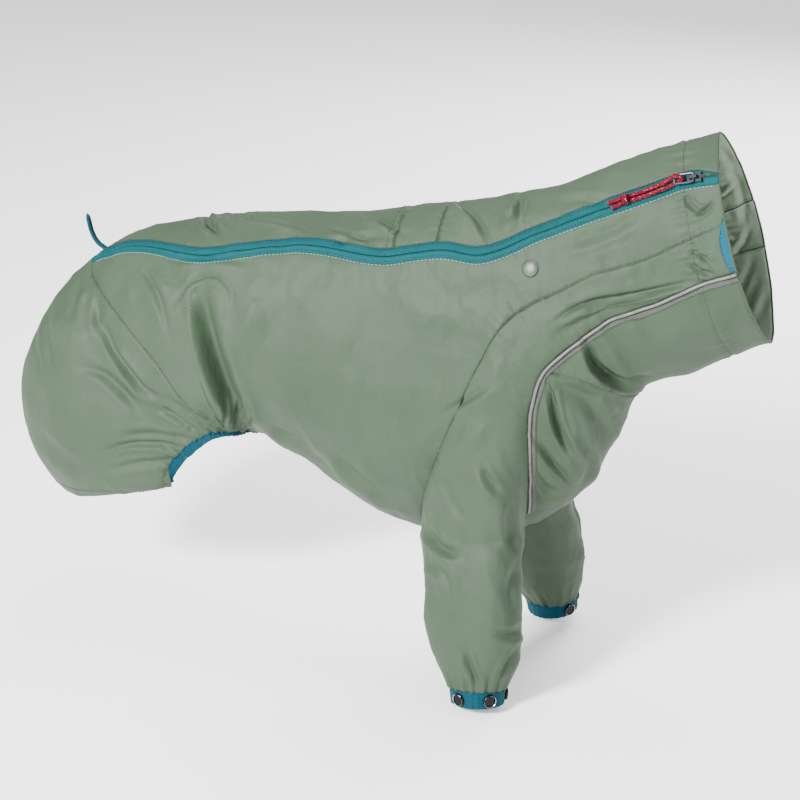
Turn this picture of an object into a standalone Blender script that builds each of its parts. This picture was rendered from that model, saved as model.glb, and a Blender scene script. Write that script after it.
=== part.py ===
"""Dog rain suit, filled out as if worn: a back, two sides, two thigh pieces, two raglan front
sleeves, a throat and a chest piece, a long zip to the right of the back line, elastic cuffs with
ring snaps, piped front seams, a gathered binding at the groin and a loop at the tail.

Frame: +X to the neck, +Y to the dog's left, +Z up. The origin is on the inner face of the cloth at
the withers, on the centre line, where the dog carries the suit. Sizes are in millimetres.
"""
import math

import bmesh
import bpy
import numpy as np
from mathutils import Matrix, Vector

MM = 0.001                # one millimetre in metres
RIGHT = np.array([1.0, 1.0, 1.0])
LEFT = np.array([1.0, -1.0, 1.0])    # mirrors a place from the dog's right to its left

# ---- driving sizes, mm ---------------------------------------------------------------------
WALL = 1.4                # laminated rain cloth with its lining
SEAM_GAP = 0.3            # between two pieces at a seam
REST_GAP = 0.3            # between a piece and what it lies on
SNAP_GAP = 0.6            # between a snap's flat base and the rounded cloth
ZIP_WIDTH = 15.0          # both tapes together
TAPE_WALL = 1.0
COIL_WIDTH = 4.4
COIL_WALL = 1.6
BINDING_WIDTH = 9.0       # groin binding
CUFF_WALL = 1.8
CUFF_PROUD = 0.5          # the cuff stands out from the sleeve's end
PIPING_RADIUS = 1.5
FLANGE_WIDTH = 6.0
FLANGE_WALL = 0.6
SLIDER_LENGTH = 13.0
SLIDER_WIDTH = 9.0        # at its front
SLIDER_TAPER = 0.72       # its rear width as a part of that
SLIDER_HEIGHT = 2.6
SLIDER_SINK = 0.35        # the tapes round away under the slider's flat base
BRIDGE_WIDTH = 2.6        # bridge over the slider's back
BRIDGE_LENGTH = 8.4
BRIDGE_WALL = 1.1
BRIDGE_HOLE = 2.3         # height under the bridge, for the puller's bar
BRIDGE_FOOT = 0.8         # how deep its feet stand in the slider
PULL_LENGTH = 19.0        # metal puller, outer
PULL_WIDTH = 9.4
PULL_WIRE = 0.8           # its wire, radius
PULL_CORNER = 2.0         # radius of its corners
PULL_TILT = 5.0           # degrees; it lies back, its rear bar lifted by the cord
CORD_RADIUS = 1.9         # red cord
CORD_APART = 2.1          # each strand from the zip's centre line
CORD_TO_KNOT = 60.0       # from the puller's hinge to the knot's middle
KNOT_LONG = 4.6           # knot, half length and radius
KNOT_WIDE = 4.4
ROW_LENGTH_NECK = 38.5    # length of one section number along the zip near the collar
LOOP_RADIUS = 1.5         # tail loop
RING_SNAP = 12.8          # cuff snaps, diameter
CAP_SNAP = 14.4           # shoulder snap, diameter

# ---- body: one row for each section, from the collar edge to the thigh hem ----------------------
# top_x, top_z, top_y: the section's upper end, and how far it stands off the centre plane there.
# low_x, low_z, low_y: the same at its lower end. bulge: half width. lens: 1 is an ellipse, more
# is pinched at the two ends.
# columns: name, top_x, top_z, top_y, low_x, low_z, low_y, bulge, lens
SECTIONS = (
    ("rim",       229,   88,  0,   285,  -96,  0,  47, 1.30),
    ("collar",    200,   77,  0,   252, -112,  0,  47, 1.30),
    ("nape",      160,   61,  0,   214, -134,  0,  49, 1.25),
    ("neck",      120,   41,  0,   171, -152,  0,  55, 1.20),
    ("shoulder",   88,   26,  0,   148, -193,  0,  62, 1.15),
    ("breast",     58,   16,  0,   128, -244,  0,  68, 1.10),
    ("foreleg",    30,    8,  0,    99, -282,  0,  73, 1.05),
    ("withers",     0, WALL,  0,    54, -310,  0,  76, 1.00),
    ("girth",     -38,   -6,  0,   -10, -322,  0,  77, 1.00),
    ("rib",       -80,  -15,  0,   -68, -319,  0,  77, 1.00),
    ("waist",    -125,  -22,  0,  -118, -295,  0,  76, 1.00),
    ("belly",    -170,  -27,  0,  -162, -268,  0,  75, 1.00),
    ("flank",    -212,  -32,  0,  -202, -251,  0,  75, 1.00),
    ("groin",    -252,  -39,  0,  -221, -250, 12,  70, 1.00),
    ("loin",     -292,  -49,  0,  -235, -258, 26,  65, 1.00),
    ("croup",    -338,  -63,  0,  -246, -268, 32,  58, 1.00),
    ("tail",     -392,  -94,  0,  -254, -277, 36,  53, 1.00),
    ("rump",     -428, -133, 15,  -261, -285, 37,  50, 1.00),
    ("buttock",  -458, -184, 21,  -267, -293, 37,  50, 1.00),
    ("thigh",    -468, -240, 23,  -272, -299, 36,  50, 1.00),
    ("knee",     -455, -297, 24,  -276, -304, 33,  48, 1.00),
    ("hem",      -425, -341, 26,  -280, -307, 30,  38, 1.00),
)
SECTION_TABLE = np.array([row[1:] for row in SECTIONS], dtype=float)

# ---- lines drawn on the body: section number along, angle round (0 top, 180 underneath) ----------
ZIP_LINE = (
    (0.0, 48.0), (1.1, 45.0), (2.0, 46.0), (2.8, 45.0), (4.4, 41.0), (6.3, 42.0), (7.4, 37.0),
    (8.7, 38.0), (10.4, 33.0), (11.8, 38.0), (13.1, 41.0), (14.4, 31.0), (15.3, 20.0), (16.0, 10.0),
)
YOKE_LINE = ((3.2, 180.0), (3.35, 155.0), (3.55, 137.0), (4.05, 116.0), (4.9, 95.0))
THIGH_LINE = (
    (13.3, 151.0), (13.6, 140.0), (14.5, 113.0), (15.1, 90.0), (15.5, 71.0), (15.8, 50.0),
    (16.0, 31.0),
)
CROSS_SEAM_REAR = 8.5     # double-stitched seam over the back
CROSS_SEAM_FRONT = 7.5    # single seam over the back
ARMPIT_ANGLE = 150.0      # inner edge of the armhole
BELLY_END = 12.35         # front of the opening under the belly
BELLY_RUN = 2.0           # section numbers over which the opening reaches its full width
BINDING_START = 0.35      # the binding's width at its front end, as a part of the whole
BINDING_RUN = 0.4         # section numbers over which it grows to the whole
BINDING_END = 19.0        # rear end of the groin binding
HEM_ANGLE = 150.0         # the thigh piece stops here, short of the underside
NOTCH_DEPTH = 0.34        # the right collar edge is cut back for the gusset
BODY_SNAP_AT = (4.8, 56.0)
TAIL_LOOP_AT = (15.82, 0.0)

# ---- raglan sleeve: a row for each line across the shoulder, from the rear seam to the piping ----
# bulge: how far the cloth stands out at the middle; tube: 0 lies on the body, 1 is half a tube
# columns: name, rear_row, rear_angle, front_row, front_angle, bulge, tube
RAGLAN = (
    ("rim",       0.00,  76.0, 0.00, 102.0,  0.0, 0.0),
    ("collar",    1.00,  78.0, 1.00, 101.5,  0.0, 0.0),
    ("nape",      2.40,  80.0, 2.20, 103.0,  0.0, 0.0),
    ("neck",      4.00,  74.0, 3.20, 103.0,  1.0, 0.0),
    ("point",     4.95,  70.0, 4.05,  99.0,  3.0, 0.1),
    ("shoulder",  5.90,  73.0, 4.90,  96.0,  5.0, 0.3),
    ("arm",       6.90,  88.0, 5.40, 101.0,  8.0, 0.5),
    ("upper arm", 7.65, 111.0, 5.75, 110.0, 17.0, 0.8),
    ("elbow",     8.14, 136.0, 6.15, 130.0, 40.0, 1.0),
    ("armpit",    8.30, 150.0, 6.50, 150.0, 64.0, 1.0),
)
RAGLAN_TABLE = np.array([row[1:] for row in RAGLAN], dtype=float)
SLEEVE_OUT = np.array([0.0, -1.0, -0.10])    # which way the raglan stands out from the body
ACROSS = 8                # facets from the rear seam to the piping
INNER = 6                 # facets round the inner side of the sleeve

# ---- sleeve below the armpit: centre, half length fore and aft, half width across ----------------
# columns: name, x, y, z, half_long, half_wide, pleat
SLEEVE = (
    ("top",    33, -74, -313, 51.0, 36.0, 0.0),
    ("upper",  38, -80, -335, 49.0, 35.0, 0.0),
    ("middle", 43, -86, -360, 46.5, 34.0, 0.0),
    ("lower",  47, -93, -388, 42.5, 32.0, 0.3),
    ("gather", 49, -97, -407, 37.0, 29.5, 1.2),
    ("wrist",  51, -100, -420, 30.5, 26.5, 1.5),
    ("cuff",   52, -102, -431, 25.8, 24.0, 0.6),
    ("end",    53, -104, -446, 24.2, 22.6, 0.0),
)
LEFT_SLEEVE_SHIFT = np.array([-1.0, 4.0, 5.0])      # the left cuff, against the right one
LEFT_THIGH_SHIFT = np.array([-16.0, 0.0, 8.0])      # the left thigh piece stands further back
SLEEVE_REAR = -100.0      # x behind which nothing is sleeve
SLEEVE_BEND = -305.0      # z where the left sleeve starts to move over
THIGH_FRONT = -225.0      # x and z where the left thigh piece starts to
THIGH_TOP_Z = -150.0
CUFF_SNAPS = (-22.5, 45.0, 120.0)    # degrees from straight out to the side, towards the front

# ---- largest folds: a path on the body, then its width and height; a tuck is a groove on its rear
# side with a ridge in front, and a crease is a groove alone --------------------------------------
# columns: name, path, width, height, kind
FOLDS = (
    ("flank fold", ((13.0, 58.0), (12.5, 80.0), (12.2, 105.0), (12.1, 128.0), (12.3, 155.0)),
     22.0, 6.5, "tuck"),
    ("throat fold", ((4.6, 104.0), (4.2, 116.0), (3.7, 136.0)), 20.0, 6.0, "tuck"),
    ("shoulder fold", ((4.6, 84.0), (3.4, 90.0), (2.0, 96.0)), 14.0, 3.0, "tuck"),
    ("breast crease", ((5.0, 118.0), (5.6, 135.0), (6.0, 150.0)), 24.0, 4.0, "crease"),
    ("thigh crease", ((17.6, 74.0), (16.0, 108.0), (14.9, 138.0)), 26.0, 3.5, "crease"),
    ("knee crease", ((19.4, 96.0), (17.6, 128.0), (15.8, 160.0)), 22.0, 3.5, "crease"),
)
GATHER_ROWS = (11.4, 13.4)           # elastic in the back, ahead of the croup
GATHER_ANGLE = 34.0
GATHER_PITCH = 0.5
GATHER_HEIGHT = 1.0

# ---- colours: (sRGB hex, roughness, metallic) --------------------------------------------------
FINISHES = {
    "sage cloth": ("#8A9984", 0.62, 0.0),
    "teal webbing": ("#0C7085", 0.70, 0.0),
    "teal tape": ("#248F98", 0.60, 0.0),
    "teal coil": ("#1E6F78", 0.45, 0.0),
    "silver piping": ("#B9C0BE", 0.35, 0.0),
    "grey flange": ("#7E8682", 0.60, 0.0),
    "gunmetal": ("#2E3236", 0.32, 0.9),
    "steel": ("#C9CDD0", 0.25, 1.0),
    "red cord": ("#C0203A", 0.65, 0.0),
}


# ---- sections ----------------------------------------------------------------------------------
def spline_row(table, place):
    """A row of the table at a fractional place, by a smooth curve through the rows."""
    last = len(table) - 1
    place = min(max(float(place), 0.0), float(last))
    start = min(int(place), last - 1)
    part = place - start
    here, after = table[start], table[start + 1]
    before = table[start - 1] if start > 0 else 2 * here - after
    beyond = table[start + 2] if start + 2 <= last else 2 * after - here
    return 0.5 * (
        2 * here
        + (after - before) * part
        + (2 * before - 5 * here + 4 * after - beyond) * part ** 2
        + (3 * here - before - 3 * after + beyond) * part ** 3
    )


def line_angle(line, row):
    """The angle of a drawn line at a section number, on a smooth curve through its points."""
    last = len(line) - 1
    row = min(max(row, line[0][0]), line[-1][0])
    start = max(number for number in range(last) if line[number][0] <= row)
    slopes = []
    for number in (start, start + 1):
        before, after = max(number - 1, 0), min(number + 1, last)
        slopes.append((line[after][1] - line[before][1]) / (line[after][0] - line[before][0]))
    span = line[start + 1][0] - line[start][0]
    part = (row - line[start][0]) / span
    low, high = line[start][1], line[start + 1][1]
    return (low * (1 + 2 * part) * (1 - part) ** 2 + high * part ** 2 * (3 - 2 * part)
            + slopes[0] * span * part * (1 - part) ** 2 - slopes[1] * span * part ** 2 * (1 - part))


def plain_point(row, angle):
    """A point of the body without its folds; a negative angle is on the left."""
    top_x, top_z, top_y, low_x, low_z, low_y, bulge, lens = spline_row(SECTION_TABLE, row)
    turn = math.radians(angle)
    down = (1.0 - math.cos(turn)) / 2.0
    wave = math.sin(turn)
    side = -1.0 if (angle < 0.0 or angle > 180.0) else 1.0
    out = bulge * abs(wave) ** lens + max(top_y, 0.0) * (1.0 - down) + max(low_y, 0.0) * down
    return np.array([top_x + (low_x - top_x) * down, -side * out, top_z + (low_z - top_z) * down])


def normal_of(surface, row, angle):
    """The outward normal of a surface, from small steps along and round it."""
    step_row, step_angle = 0.02, 0.5
    along = surface(row + step_row, angle) - surface(row - step_row, angle)
    low = max(angle - step_angle, 0.01) if angle > 0.0 else angle - step_angle
    high = min(angle + step_angle, 179.99) if 0.0 < angle <= 180.0 else angle + step_angle
    if angle == 0.0:
        low, high = 0.01, step_angle
    if low >= high:
        low = high - step_angle
    around = surface(row, high) - surface(row, low)
    normal = np.cross(along, around)
    return normal / np.linalg.norm(normal)


def fold_paths():
    """Each fold's path as points in space, on the right side."""
    paths = []
    for path, width, height, kind in [fold[1:] for fold in FOLDS]:
        steps = 6 * (len(path) - 1)
        knots = np.array(path, dtype=float)
        rows = [spline_row(knots, step / 6) for step in range(steps + 1)]
        points = np.array([plain_point(row, angle) for row, angle in rows])
        normals = np.array([normal_of(plain_point, row, angle) for row, angle in rows])
        paths.append((points, normals, width, height, kind))
    return paths


FOLD_PATHS = fold_paths()


def fold_height(point):
    """How far the folds lift the cloth at a point; both sides fold alike."""
    here = np.array([point[0], -abs(point[1]), point[2]])
    lift = 0.0
    for points, normals, width, height, kind in FOLD_PATHS:
        gaps = np.linalg.norm(points - here, axis=1)
        nearest = int(gaps.argmin())
        if gaps[nearest] > 2.5 * width:
            continue
        before, after = max(nearest - 1, 0), min(nearest + 1, len(points) - 1)
        run = points[after] - points[before]
        run /= np.linalg.norm(run)
        across = np.cross(normals[nearest], run)
        offset = float(np.dot(here - points[nearest], across))
        along = (nearest + float(np.dot(here - points[nearest], run)) / 12.0) / (len(points) - 1)
        fade = math.sin(math.pi * min(max(along, 0.0), 1.0)) ** 0.7
        if kind == "tuck":
            groove = math.exp(-((offset + 0.45 * width) / (0.42 * width)) ** 2)
            ridge = math.exp(-((offset - 0.35 * width) / (0.5 * width)) ** 2)
            lift += height * fade * (0.8 * ridge - groove)
        else:
            lift -= height * fade * math.exp(-(offset / (0.5 * width)) ** 2)
    return lift


def body_point(row, angle):
    """A point of the body's outer face, folds and back gathers included."""
    point = plain_point(row, angle)
    lift = fold_height(point)
    if GATHER_ROWS[0] < row < GATHER_ROWS[1] and abs(angle) < GATHER_ANGLE:
        part = (row - GATHER_ROWS[0]) / (GATHER_ROWS[1] - GATHER_ROWS[0])
        window = math.sin(math.pi * part) * math.cos(math.pi * angle / (2 * GATHER_ANGLE))
        lift += GATHER_HEIGHT * window * math.cos(2 * math.pi * row / GATHER_PITCH)
    if abs(lift) < 1e-6:
        return point
    return point + lift * normal_of(plain_point, row, angle)


def body_normal(row, angle):
    return normal_of(body_point, row, angle)


def degrees_for(row, angle, width):
    """The angle that a width in mm takes round the body."""
    step = 0.5
    arc = np.linalg.norm(plain_point(row, angle + step) - plain_point(row, angle - step))
    return width * 2 * step / arc


def ease(part):
    """A smooth step from 0 to 1."""
    part = min(max(part, 0.0), 1.0)
    return part * part * (3.0 - 2.0 * part)


def left_pose(point):
    """A mirrored point moved to where the left legs stand."""
    if point[0] > SLEEVE_REAR:
        return point + LEFT_SLEEVE_SHIFT * ease((SLEEVE_BEND - point[2]) / 110.0)
    back = ease((THIGH_FRONT - point[0]) / 50.0) * ease((THIGH_TOP_Z - point[2]) / 110.0)
    return point + LEFT_THIGH_SHIFT * back


# ---- cloth pieces --------------------------------------------------------------------------------
class Panel:
    """An open sheet of four-sided facets; points with the same key are shared."""

    def __init__(self, notch=False):    # notch: the collar edge is cut back for the gusset
        self.notch = notch
        self.keys = {}
        self.points = []
        self.normals = []
        self.facets = []

    def add(self, key, point, normal):
        if key not in self.keys:
            self.keys[key] = len(self.points)
            self.points.append(np.array(point, dtype=float))
            self.normals.append(np.array(normal, dtype=float))
        return self.keys[key]

    def body(self, row, angle):
        key = (round(row, 4), round(angle, 3))
        if key in self.keys:
            return self.keys[key]
        if self.notch and row == 0.0:
            row = notch_row(angle)
        return self.add(key, body_point(row, angle), body_normal(row, angle))

    def grid(self, numbers):
        """Facets between neighbouring columns of point numbers."""
        for left, right in zip(numbers[:-1], numbers[1:]):
            for low in range(len(left) - 1):
                corners = (left[low], right[low], right[low + 1], left[low + 1])
                facet = tuple(dict.fromkeys(corners))
                if len(facet) > 2:
                    self.facets.append(facet)

    def columns(self, columns):
        """Columns of (row, angle) places, all of one length."""
        self.grid([[self.body(row, angle) for row, angle in column] for column in columns])

    def mirrored(self):
        """The same sheet on the other side of the centre plane."""
        other = Panel()
        other.points = [left_pose(point * LEFT) for point in self.points]
        other.normals = [normal * LEFT for normal in self.normals]
        other.facets = [tuple(reversed(facet)) for facet in self.facets]
        return other

    def trimmed(self, gap):
        """Points with the free edges drawn in by half a seam gap."""
        edges = {}
        for facet in self.facets:
            for start, end in zip(facet, facet[1:] + facet[:1]):
                edges[(start, end)] = True
        free = [(start, end) for start, end in edges if (end, start) not in edges]
        follow = {start: end for start, end in free}
        lead = {end: start for start, end in free}
        points = [point.copy() for point in self.points]
        for here, after in follow.items():
            before = lead[here]
            inward = []
            for start, end in ((before, here), (here, after)):
                run = self.points[end] - self.points[start]
                left = np.cross(self.normals[here], run)
                inward.append(left / np.linalg.norm(left))
            mitre = (inward[0] + inward[1]) / max(1.0 + float(np.dot(inward[0], inward[1])), 0.5)
            points[here] += mitre * gap
        return points, free


def make_wall(name, panel, wall, finish, lift=0.0, gap=SEAM_GAP / 2):
    """A closed piece: the sheet's outer face, its inner face one wall below, and its edges.

    A facet and the one below it start at the same corner, so they are folded along one diagonal.
    """
    points, free = panel.trimmed(gap)
    count = len(points)
    outer = [point + normal * lift for point, normal in zip(points, panel.normals)]
    inner = [point + normal * (lift - wall) for point, normal in zip(points, panel.normals)]
    facets = list(panel.facets)
    facets += [tuple(number + count for number in (facet[0],) + facet[:0:-1])
               for facet in panel.facets]
    facets += [(end, start, start + count, end + count) for start, end in free]
    return make_mesh(name, outer + inner, facets, finish)


def make_mesh(name, points, facets, finish):
    mesh = bpy.data.meshes.new(name)
    mesh.from_pydata([tuple(float(value) * MM for value in point) for point in points], [], facets)
    mesh.update()
    return place(name, mesh, finish)


def blend(low, high, count):
    return [low + (high - low) * step / count for step in range(count + 1)]


# stations along the body: those of the rear raglan seam, then the trunk and the thigh
HALF_ROWS = [0.0, 0.5, 0.7] + [step / 2 for step in range(2, 2 * (len(RAGLAN) - 1) + 1)]
RAGLAN_ROWS = [spline_row(RAGLAN_TABLE, place) for place in HALF_ROWS]
FRONT_STATIONS = [float(row[0]) for row in RAGLAN_ROWS]
TRUNK_STATIONS = [8.5, 9.0, 9.5, 10.0, 10.5, 11.0, 11.4, 11.75, 12.0, 12.25, 12.5, 12.75, 13.0, 13.3]
THIGH_STATIONS = [13.6, 14.05, 14.5, 14.8, 15.1, 15.5, 15.8, 16.0]
HEM_STATIONS = [16.5, 17.0, 17.5, 18.0, 18.5, 19.0, 19.5, 20.0, 20.4, 20.7, 21.0]
BACK_STATIONS = FRONT_STATIONS + TRUNK_STATIONS + THIGH_STATIONS
FRONT_SIDE, REAR_SIDE = 7, 2          # facets down the side, and on under the belly
THIGH_DOWN, THIGH_TOP = 8, 2
UNDER = 4                             # facets from the piping to the centre line below
SLIDER_AT = FRONT_STATIONS[2]         # the zip is open from here to the collar edge


def zip_centre(row):
    return line_angle(ZIP_LINE, row)


def zip_edge(row, offset):
    """The angle of a line that runs beside the zip, at an offset in mm, down the right side."""
    centre = zip_centre(row)
    return centre + math.copysign(degrees_for(row, centre, abs(offset)), offset)


def raglan_rear(row):
    return float(np.interp(row, FRONT_STATIONS, [float(line[1]) for line in RAGLAN_ROWS]))


def belly_edge(row):
    """Lower edge of the side: the centre line, then the upper edge of the groin binding."""
    if row <= BELLY_END:
        return 180.0
    grow = min((row - BELLY_END) / BINDING_RUN, 1.0)
    return open_edge(row) - binding_angle(row) * (BINDING_START + (1.0 - BINDING_START) * grow)


def binding_angle(row):
    """The width of the groin binding as an angle."""
    return degrees_for(row, open_edge(row) - 4.0, BINDING_WIDTH)


def open_edge(row):
    """Edge of the opening under the belly and the thigh."""
    part = min(max((row - BELLY_END) / BELLY_RUN, 0.0), 1.0)
    return 180.0 - (180.0 - HEM_ANGLE) * part * (2.0 - part)


def side_panel(upper_edge, notch):
    """From the zip or the back seam down to the raglan seam, the belly and the thigh seam."""
    panel = Panel(notch)
    columns = []
    for row in FRONT_STATIONS:
        columns.append([(row, t) for t in blend(upper_edge(row), raglan_rear(row), FRONT_SIDE)])
    panel.columns(columns)
    armpit = FRONT_STATIONS[-1]
    under_arm = [(armpit, t) for t in blend(ARMPIT_ANGLE, 180.0, REAR_SIDE)[1:]]
    columns = [columns[-1] + under_arm]
    for row in TRUNK_STATIONS:
        low = belly_edge(row)
        split = min(ARMPIT_ANGLE - (row - armpit) * 1.2, low - 14.0)
        angles = blend(upper_edge(row), split, FRONT_SIDE) + blend(split, low, REAR_SIDE)[1:]
        columns.append([(row, t) for t in angles])
    for row in THIGH_STATIONS:
        angles = blend(upper_edge(row), line_angle(THIGH_LINE, row), FRONT_SIDE + REAR_SIDE)
        columns.append([(row, t) for t in angles])
    panel.columns(columns)
    return panel


def hind_hem(row):
    """Lower edge of the thigh piece: above the binding, then the open edge itself."""
    return open_edge(row) if row >= BINDING_END else open_edge(row) - binding_angle(row)


def hind_panel():
    """The thigh piece, from a point in front of the thigh round to the hem."""
    panel = Panel()
    first, last = TRUNK_STATIONS[-1], THIGH_STATIONS[-1]
    columns = [[(first, hind_hem(first))] * (THIGH_DOWN + 1)]
    for row in THIGH_STATIONS:
        columns.append([(row, t) for t in blend(line_angle(THIGH_LINE, row), hind_hem(row), THIGH_DOWN)])
    panel.columns(columns)
    seam = line_angle(THIGH_LINE, last)
    rear = [[(last, t) for t in blend(0.0, seam, THIGH_TOP)[:-1]] + columns[-1]]
    for row in HEM_STATIONS:
        split = seam + (row - last) * 1.5
        angles = blend(0.0, split, THIGH_TOP)[:-1] + blend(split, hind_hem(row), THIGH_DOWN)
        rear.append([(row, t) for t in angles])
    panel.columns(rear)
    return panel


def back_panel(first, last):
    """Between the left back seam and the zip's upper tape, for one stretch of the back."""
    rows = [row for row in BACK_STATIONS if first < row < last]
    columns = []
    for row in [first] + rows + [last]:
        left = -zip_centre(row)
        columns.append([(row, t) for t in blend(left, upper_tape_edge(row), 6)])
    panel = Panel()
    panel.columns(columns)
    return panel


def upper_tape_edge(row):
    """The back's edge at the zip; ahead of the slider it closes in towards the collar edge."""
    if row >= SLIDER_AT:
        return zip_edge(row, -ZIP_WIDTH / 2)
    return zip_edge(row, -(2.2 + (ZIP_WIDTH / 2 - 2.2) * (row / SLIDER_AT) ** 0.6))


def left_tape_inner(row):
    if row >= SLIDER_AT:
        return zip_centre(row)
    open_part = math.sin(math.pi * row / SLIDER_AT)
    return zip_edge(row, -(0.6 + 2.8 * open_part))


def tape_panel(upper, lower):
    panel = Panel()
    panel.columns([[(row, upper(row)), (row, lower(row))] for row in BACK_STATIONS])
    return panel


def coil_panel():
    panel = Panel()
    half = COIL_WIDTH / 2
    panel.columns([[(row, zip_edge(row, -half)), (row, zip_edge(row, half))]
                   for row in BACK_STATIONS if row >= SLIDER_AT])
    return panel


def binding_panel():
    """The gathered strip along the groin, on the right; at the rear it runs out to a point."""
    rows = [row for row in TRUNK_STATIONS + THIGH_STATIONS + HEM_STATIONS
            if BELLY_END < row < BINDING_END]
    columns = []
    for row in rows:
        upper, edge = belly_edge(row), open_edge(row)
        columns.append([(row, upper), (row, (upper + edge) / 2), (row, edge)])
    columns.append([(BINDING_END, open_edge(BINDING_END))] * 3)
    panel = Panel()
    panel.columns(columns)
    return panel


# ---- raglan sleeve ---------------------------------------------------------------------------------
def raglan_point(line, step, notch):
    """A point on one line across the shoulder; step 0 is the rear seam, ACROSS the piping."""
    rear_row, rear_angle, front_row, front_angle, bulge, tube = line
    turn = math.pi * step / ACROSS
    part = (1 - tube) * step / ACROSS + tube * (1 - math.cos(turn)) / 2
    row = rear_row + (front_row - rear_row) * part
    angle = rear_angle + (front_angle - rear_angle) * part
    if notch and row == 0.0:
        row = notch_row(angle)
    point = body_point(row, angle)
    if step in (0, ACROSS):
        return point, body_normal(row, angle)
    return point + SLEEVE_OUT * max(bulge, 0.0) * math.sin(turn), None


def sleeve_axis(number):
    rows = np.array([row[1:4] for row in SLEEVE], dtype=float)
    before, after = max(number - 1, 0), min(number + 1, len(rows) - 1)
    run = rows[after] - rows[before]
    return run / np.linalg.norm(run)


def sleeve_ring(number, extra=0.0):
    """The section of the sleeve at a row of its table, from the rear round the outer side."""
    x, y, z, half_long, half_wide, pleat = SLEEVE[number][1:]
    ahead, outward = across_sleeve(number)
    ring = []
    for step in range(ACROSS + INNER):
        if step <= ACROSS:
            turn = math.pi * (1 - step / ACROSS)
        else:
            turn = -math.pi * (step - ACROSS) / INNER
        grow = extra + pleat * (1 if step % 2 else -1)
        ring.append(np.array([x, y, z]) + ahead * (half_long + grow) * math.cos(turn)
                    + outward * (half_wide + grow) * math.sin(turn))
    return ring


def sleeve_panel(notch):
    panel = Panel()
    lines = []
    for number, line in enumerate(RAGLAN_ROWS):
        numbers = []
        for step in range(ACROSS + 1):
            point, normal = raglan_point(line, step, notch)
            numbers.append(panel.add(("line", number, step), point,
                                     np.zeros(3) if normal is None else normal))
        lines.append(numbers)
    panel.grid([list(column) for column in zip(*lines)][::-1])
    rear_row, front_row = RAGLAN_ROWS[-1][0], RAGLAN_ROWS[-1][2]
    ring = list(lines[-1])
    for row in blend(front_row, rear_row, INNER)[1:-1]:
        ring.append(panel.add(("inner", row), body_point(row, ARMPIT_ANGLE),
                              body_normal(row, ARMPIT_ANGLE) * -1.0))
    rings = [ring]
    for number in range(len(SLEEVE) - 1):
        rings.append([panel.add(("ring", number, step), point, np.zeros(3))
                      for step, point in enumerate(sleeve_ring(number))])
    for above, below in zip(rings[:-1], rings[1:]):
        count = len(above)
        for step in range(count):
            after = (step + 1) % count
            panel.facets.append((above[step], below[step], below[after], above[after]))
    fill_normals(panel)
    return panel


def fill_normals(panel):
    """Normals from the facets, for the points that the body gives none."""
    sums = [np.zeros(3) for _ in panel.points]
    for facet in panel.facets:
        corners = [panel.points[number] for number in facet]
        normal = np.cross(corners[2] - corners[0], corners[3] - corners[1])
        for number in facet:
            sums[number] += normal
    for number, normal in enumerate(panel.normals):
        inner_edge = float(np.dot(normal, normal)) > 0.5 and float(np.dot(normal, sums[number])) < 0
        if float(np.dot(normal, normal)) < 0.5 or inner_edge:
            panel.normals[number] = sums[number] / np.linalg.norm(sums[number])


def ring_wall(name, top, low, centre_top, centre_low, wall, finish):
    """A closed band between two rings of points, with its wall towards the two centres."""
    count = len(top)
    points = []
    for ring, centre in ((top, centre_top), (low, centre_low)):
        points += ring
        for point in ring:
            inward = centre - point
            points.append(point + inward / np.linalg.norm(inward) * wall)
    facets = []
    for step in range(count):
        after = (step + 1) % count
        outer_top, inner_top = (step, after), (step + count, after + count)
        outer_low = (step + 2 * count, after + 2 * count)
        inner_low = (step + 3 * count, after + 3 * count)
        facets.append((outer_top[0], outer_low[0], outer_low[1], outer_top[1]))
        facets.append((inner_top[0], inner_top[1], inner_low[1], inner_low[0]))
        facets.append((outer_top[0], outer_top[1], inner_top[1], inner_top[0]))
        facets.append((outer_low[0], inner_low[0], inner_low[1], outer_low[1]))
    return make_mesh(name, points, facets, finish)


# ---- gusset in the right collar edge ----
def side_rim_angles():
    return blend(zip_edge(0.0, ZIP_WIDTH / 2), float(RAGLAN_ROWS[0][1]), FRONT_SIDE)


def notch_ends():
    """The gusset runs from a point on the side piece to the lower edge of the piping's flange."""
    piping = float(RAGLAN_ROWS[0][3])
    return side_rim_angles()[-3], piping + degrees_for(0.0, piping, FLANGE_WIDTH)


def notch_row(angle):
    """How far the right collar edge is cut back at an angle, as a section number."""
    start, end = notch_ends()
    if not start < angle < end:
        return 0.0
    return NOTCH_DEPTH * math.sin(math.pi * (angle - start) / (end - start))


def gusset_panel():
    """Elastic gusset between the cut-back edge and the line of the collar edge."""
    start, end = notch_ends()
    angles = side_rim_angles()[-3:]
    angles += blend(float(RAGLAN_ROWS[0][1]), float(RAGLAN_ROWS[0][3]), ACROSS)[1:] + [end]
    rows = [notch_row(angle) for angle in angles]
    blunt = 0.3
    first = start + blunt * (angles[1] - start)
    last = end - blunt * (end - angles[-2])
    columns = []
    for angle in [first] + angles[1:-1] + [last]:
        depth = float(np.interp(angle, angles, rows))
        columns.append([(0.0, angle), (depth, angle)])
    panel = Panel()
    numbers = [[panel.body(row, angle) for row, angle in column] for column in columns]
    panel.grid([list(line) for line in zip(*numbers)])
    return panel


# ---- throat and chest ------------------------------------------------------------------------------
YOKE_START = YOKE_LINE[0][0]
YOKE_SIDE = YOKE_LINE[-1][0]
PIPED = [(float(line[2]), float(line[3])) for line in RAGLAN_ROWS]
PIPED_POINTS = [body_point(row, angle) for row, angle in PIPED]


def seam_run(number):
    """Direction of the piped seam at one of its places."""
    run = PIPED_POINTS[min(number + 1, len(PIPED) - 1)] - PIPED_POINTS[max(number - 1, 0)]
    return run / np.linalg.norm(run)


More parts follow.
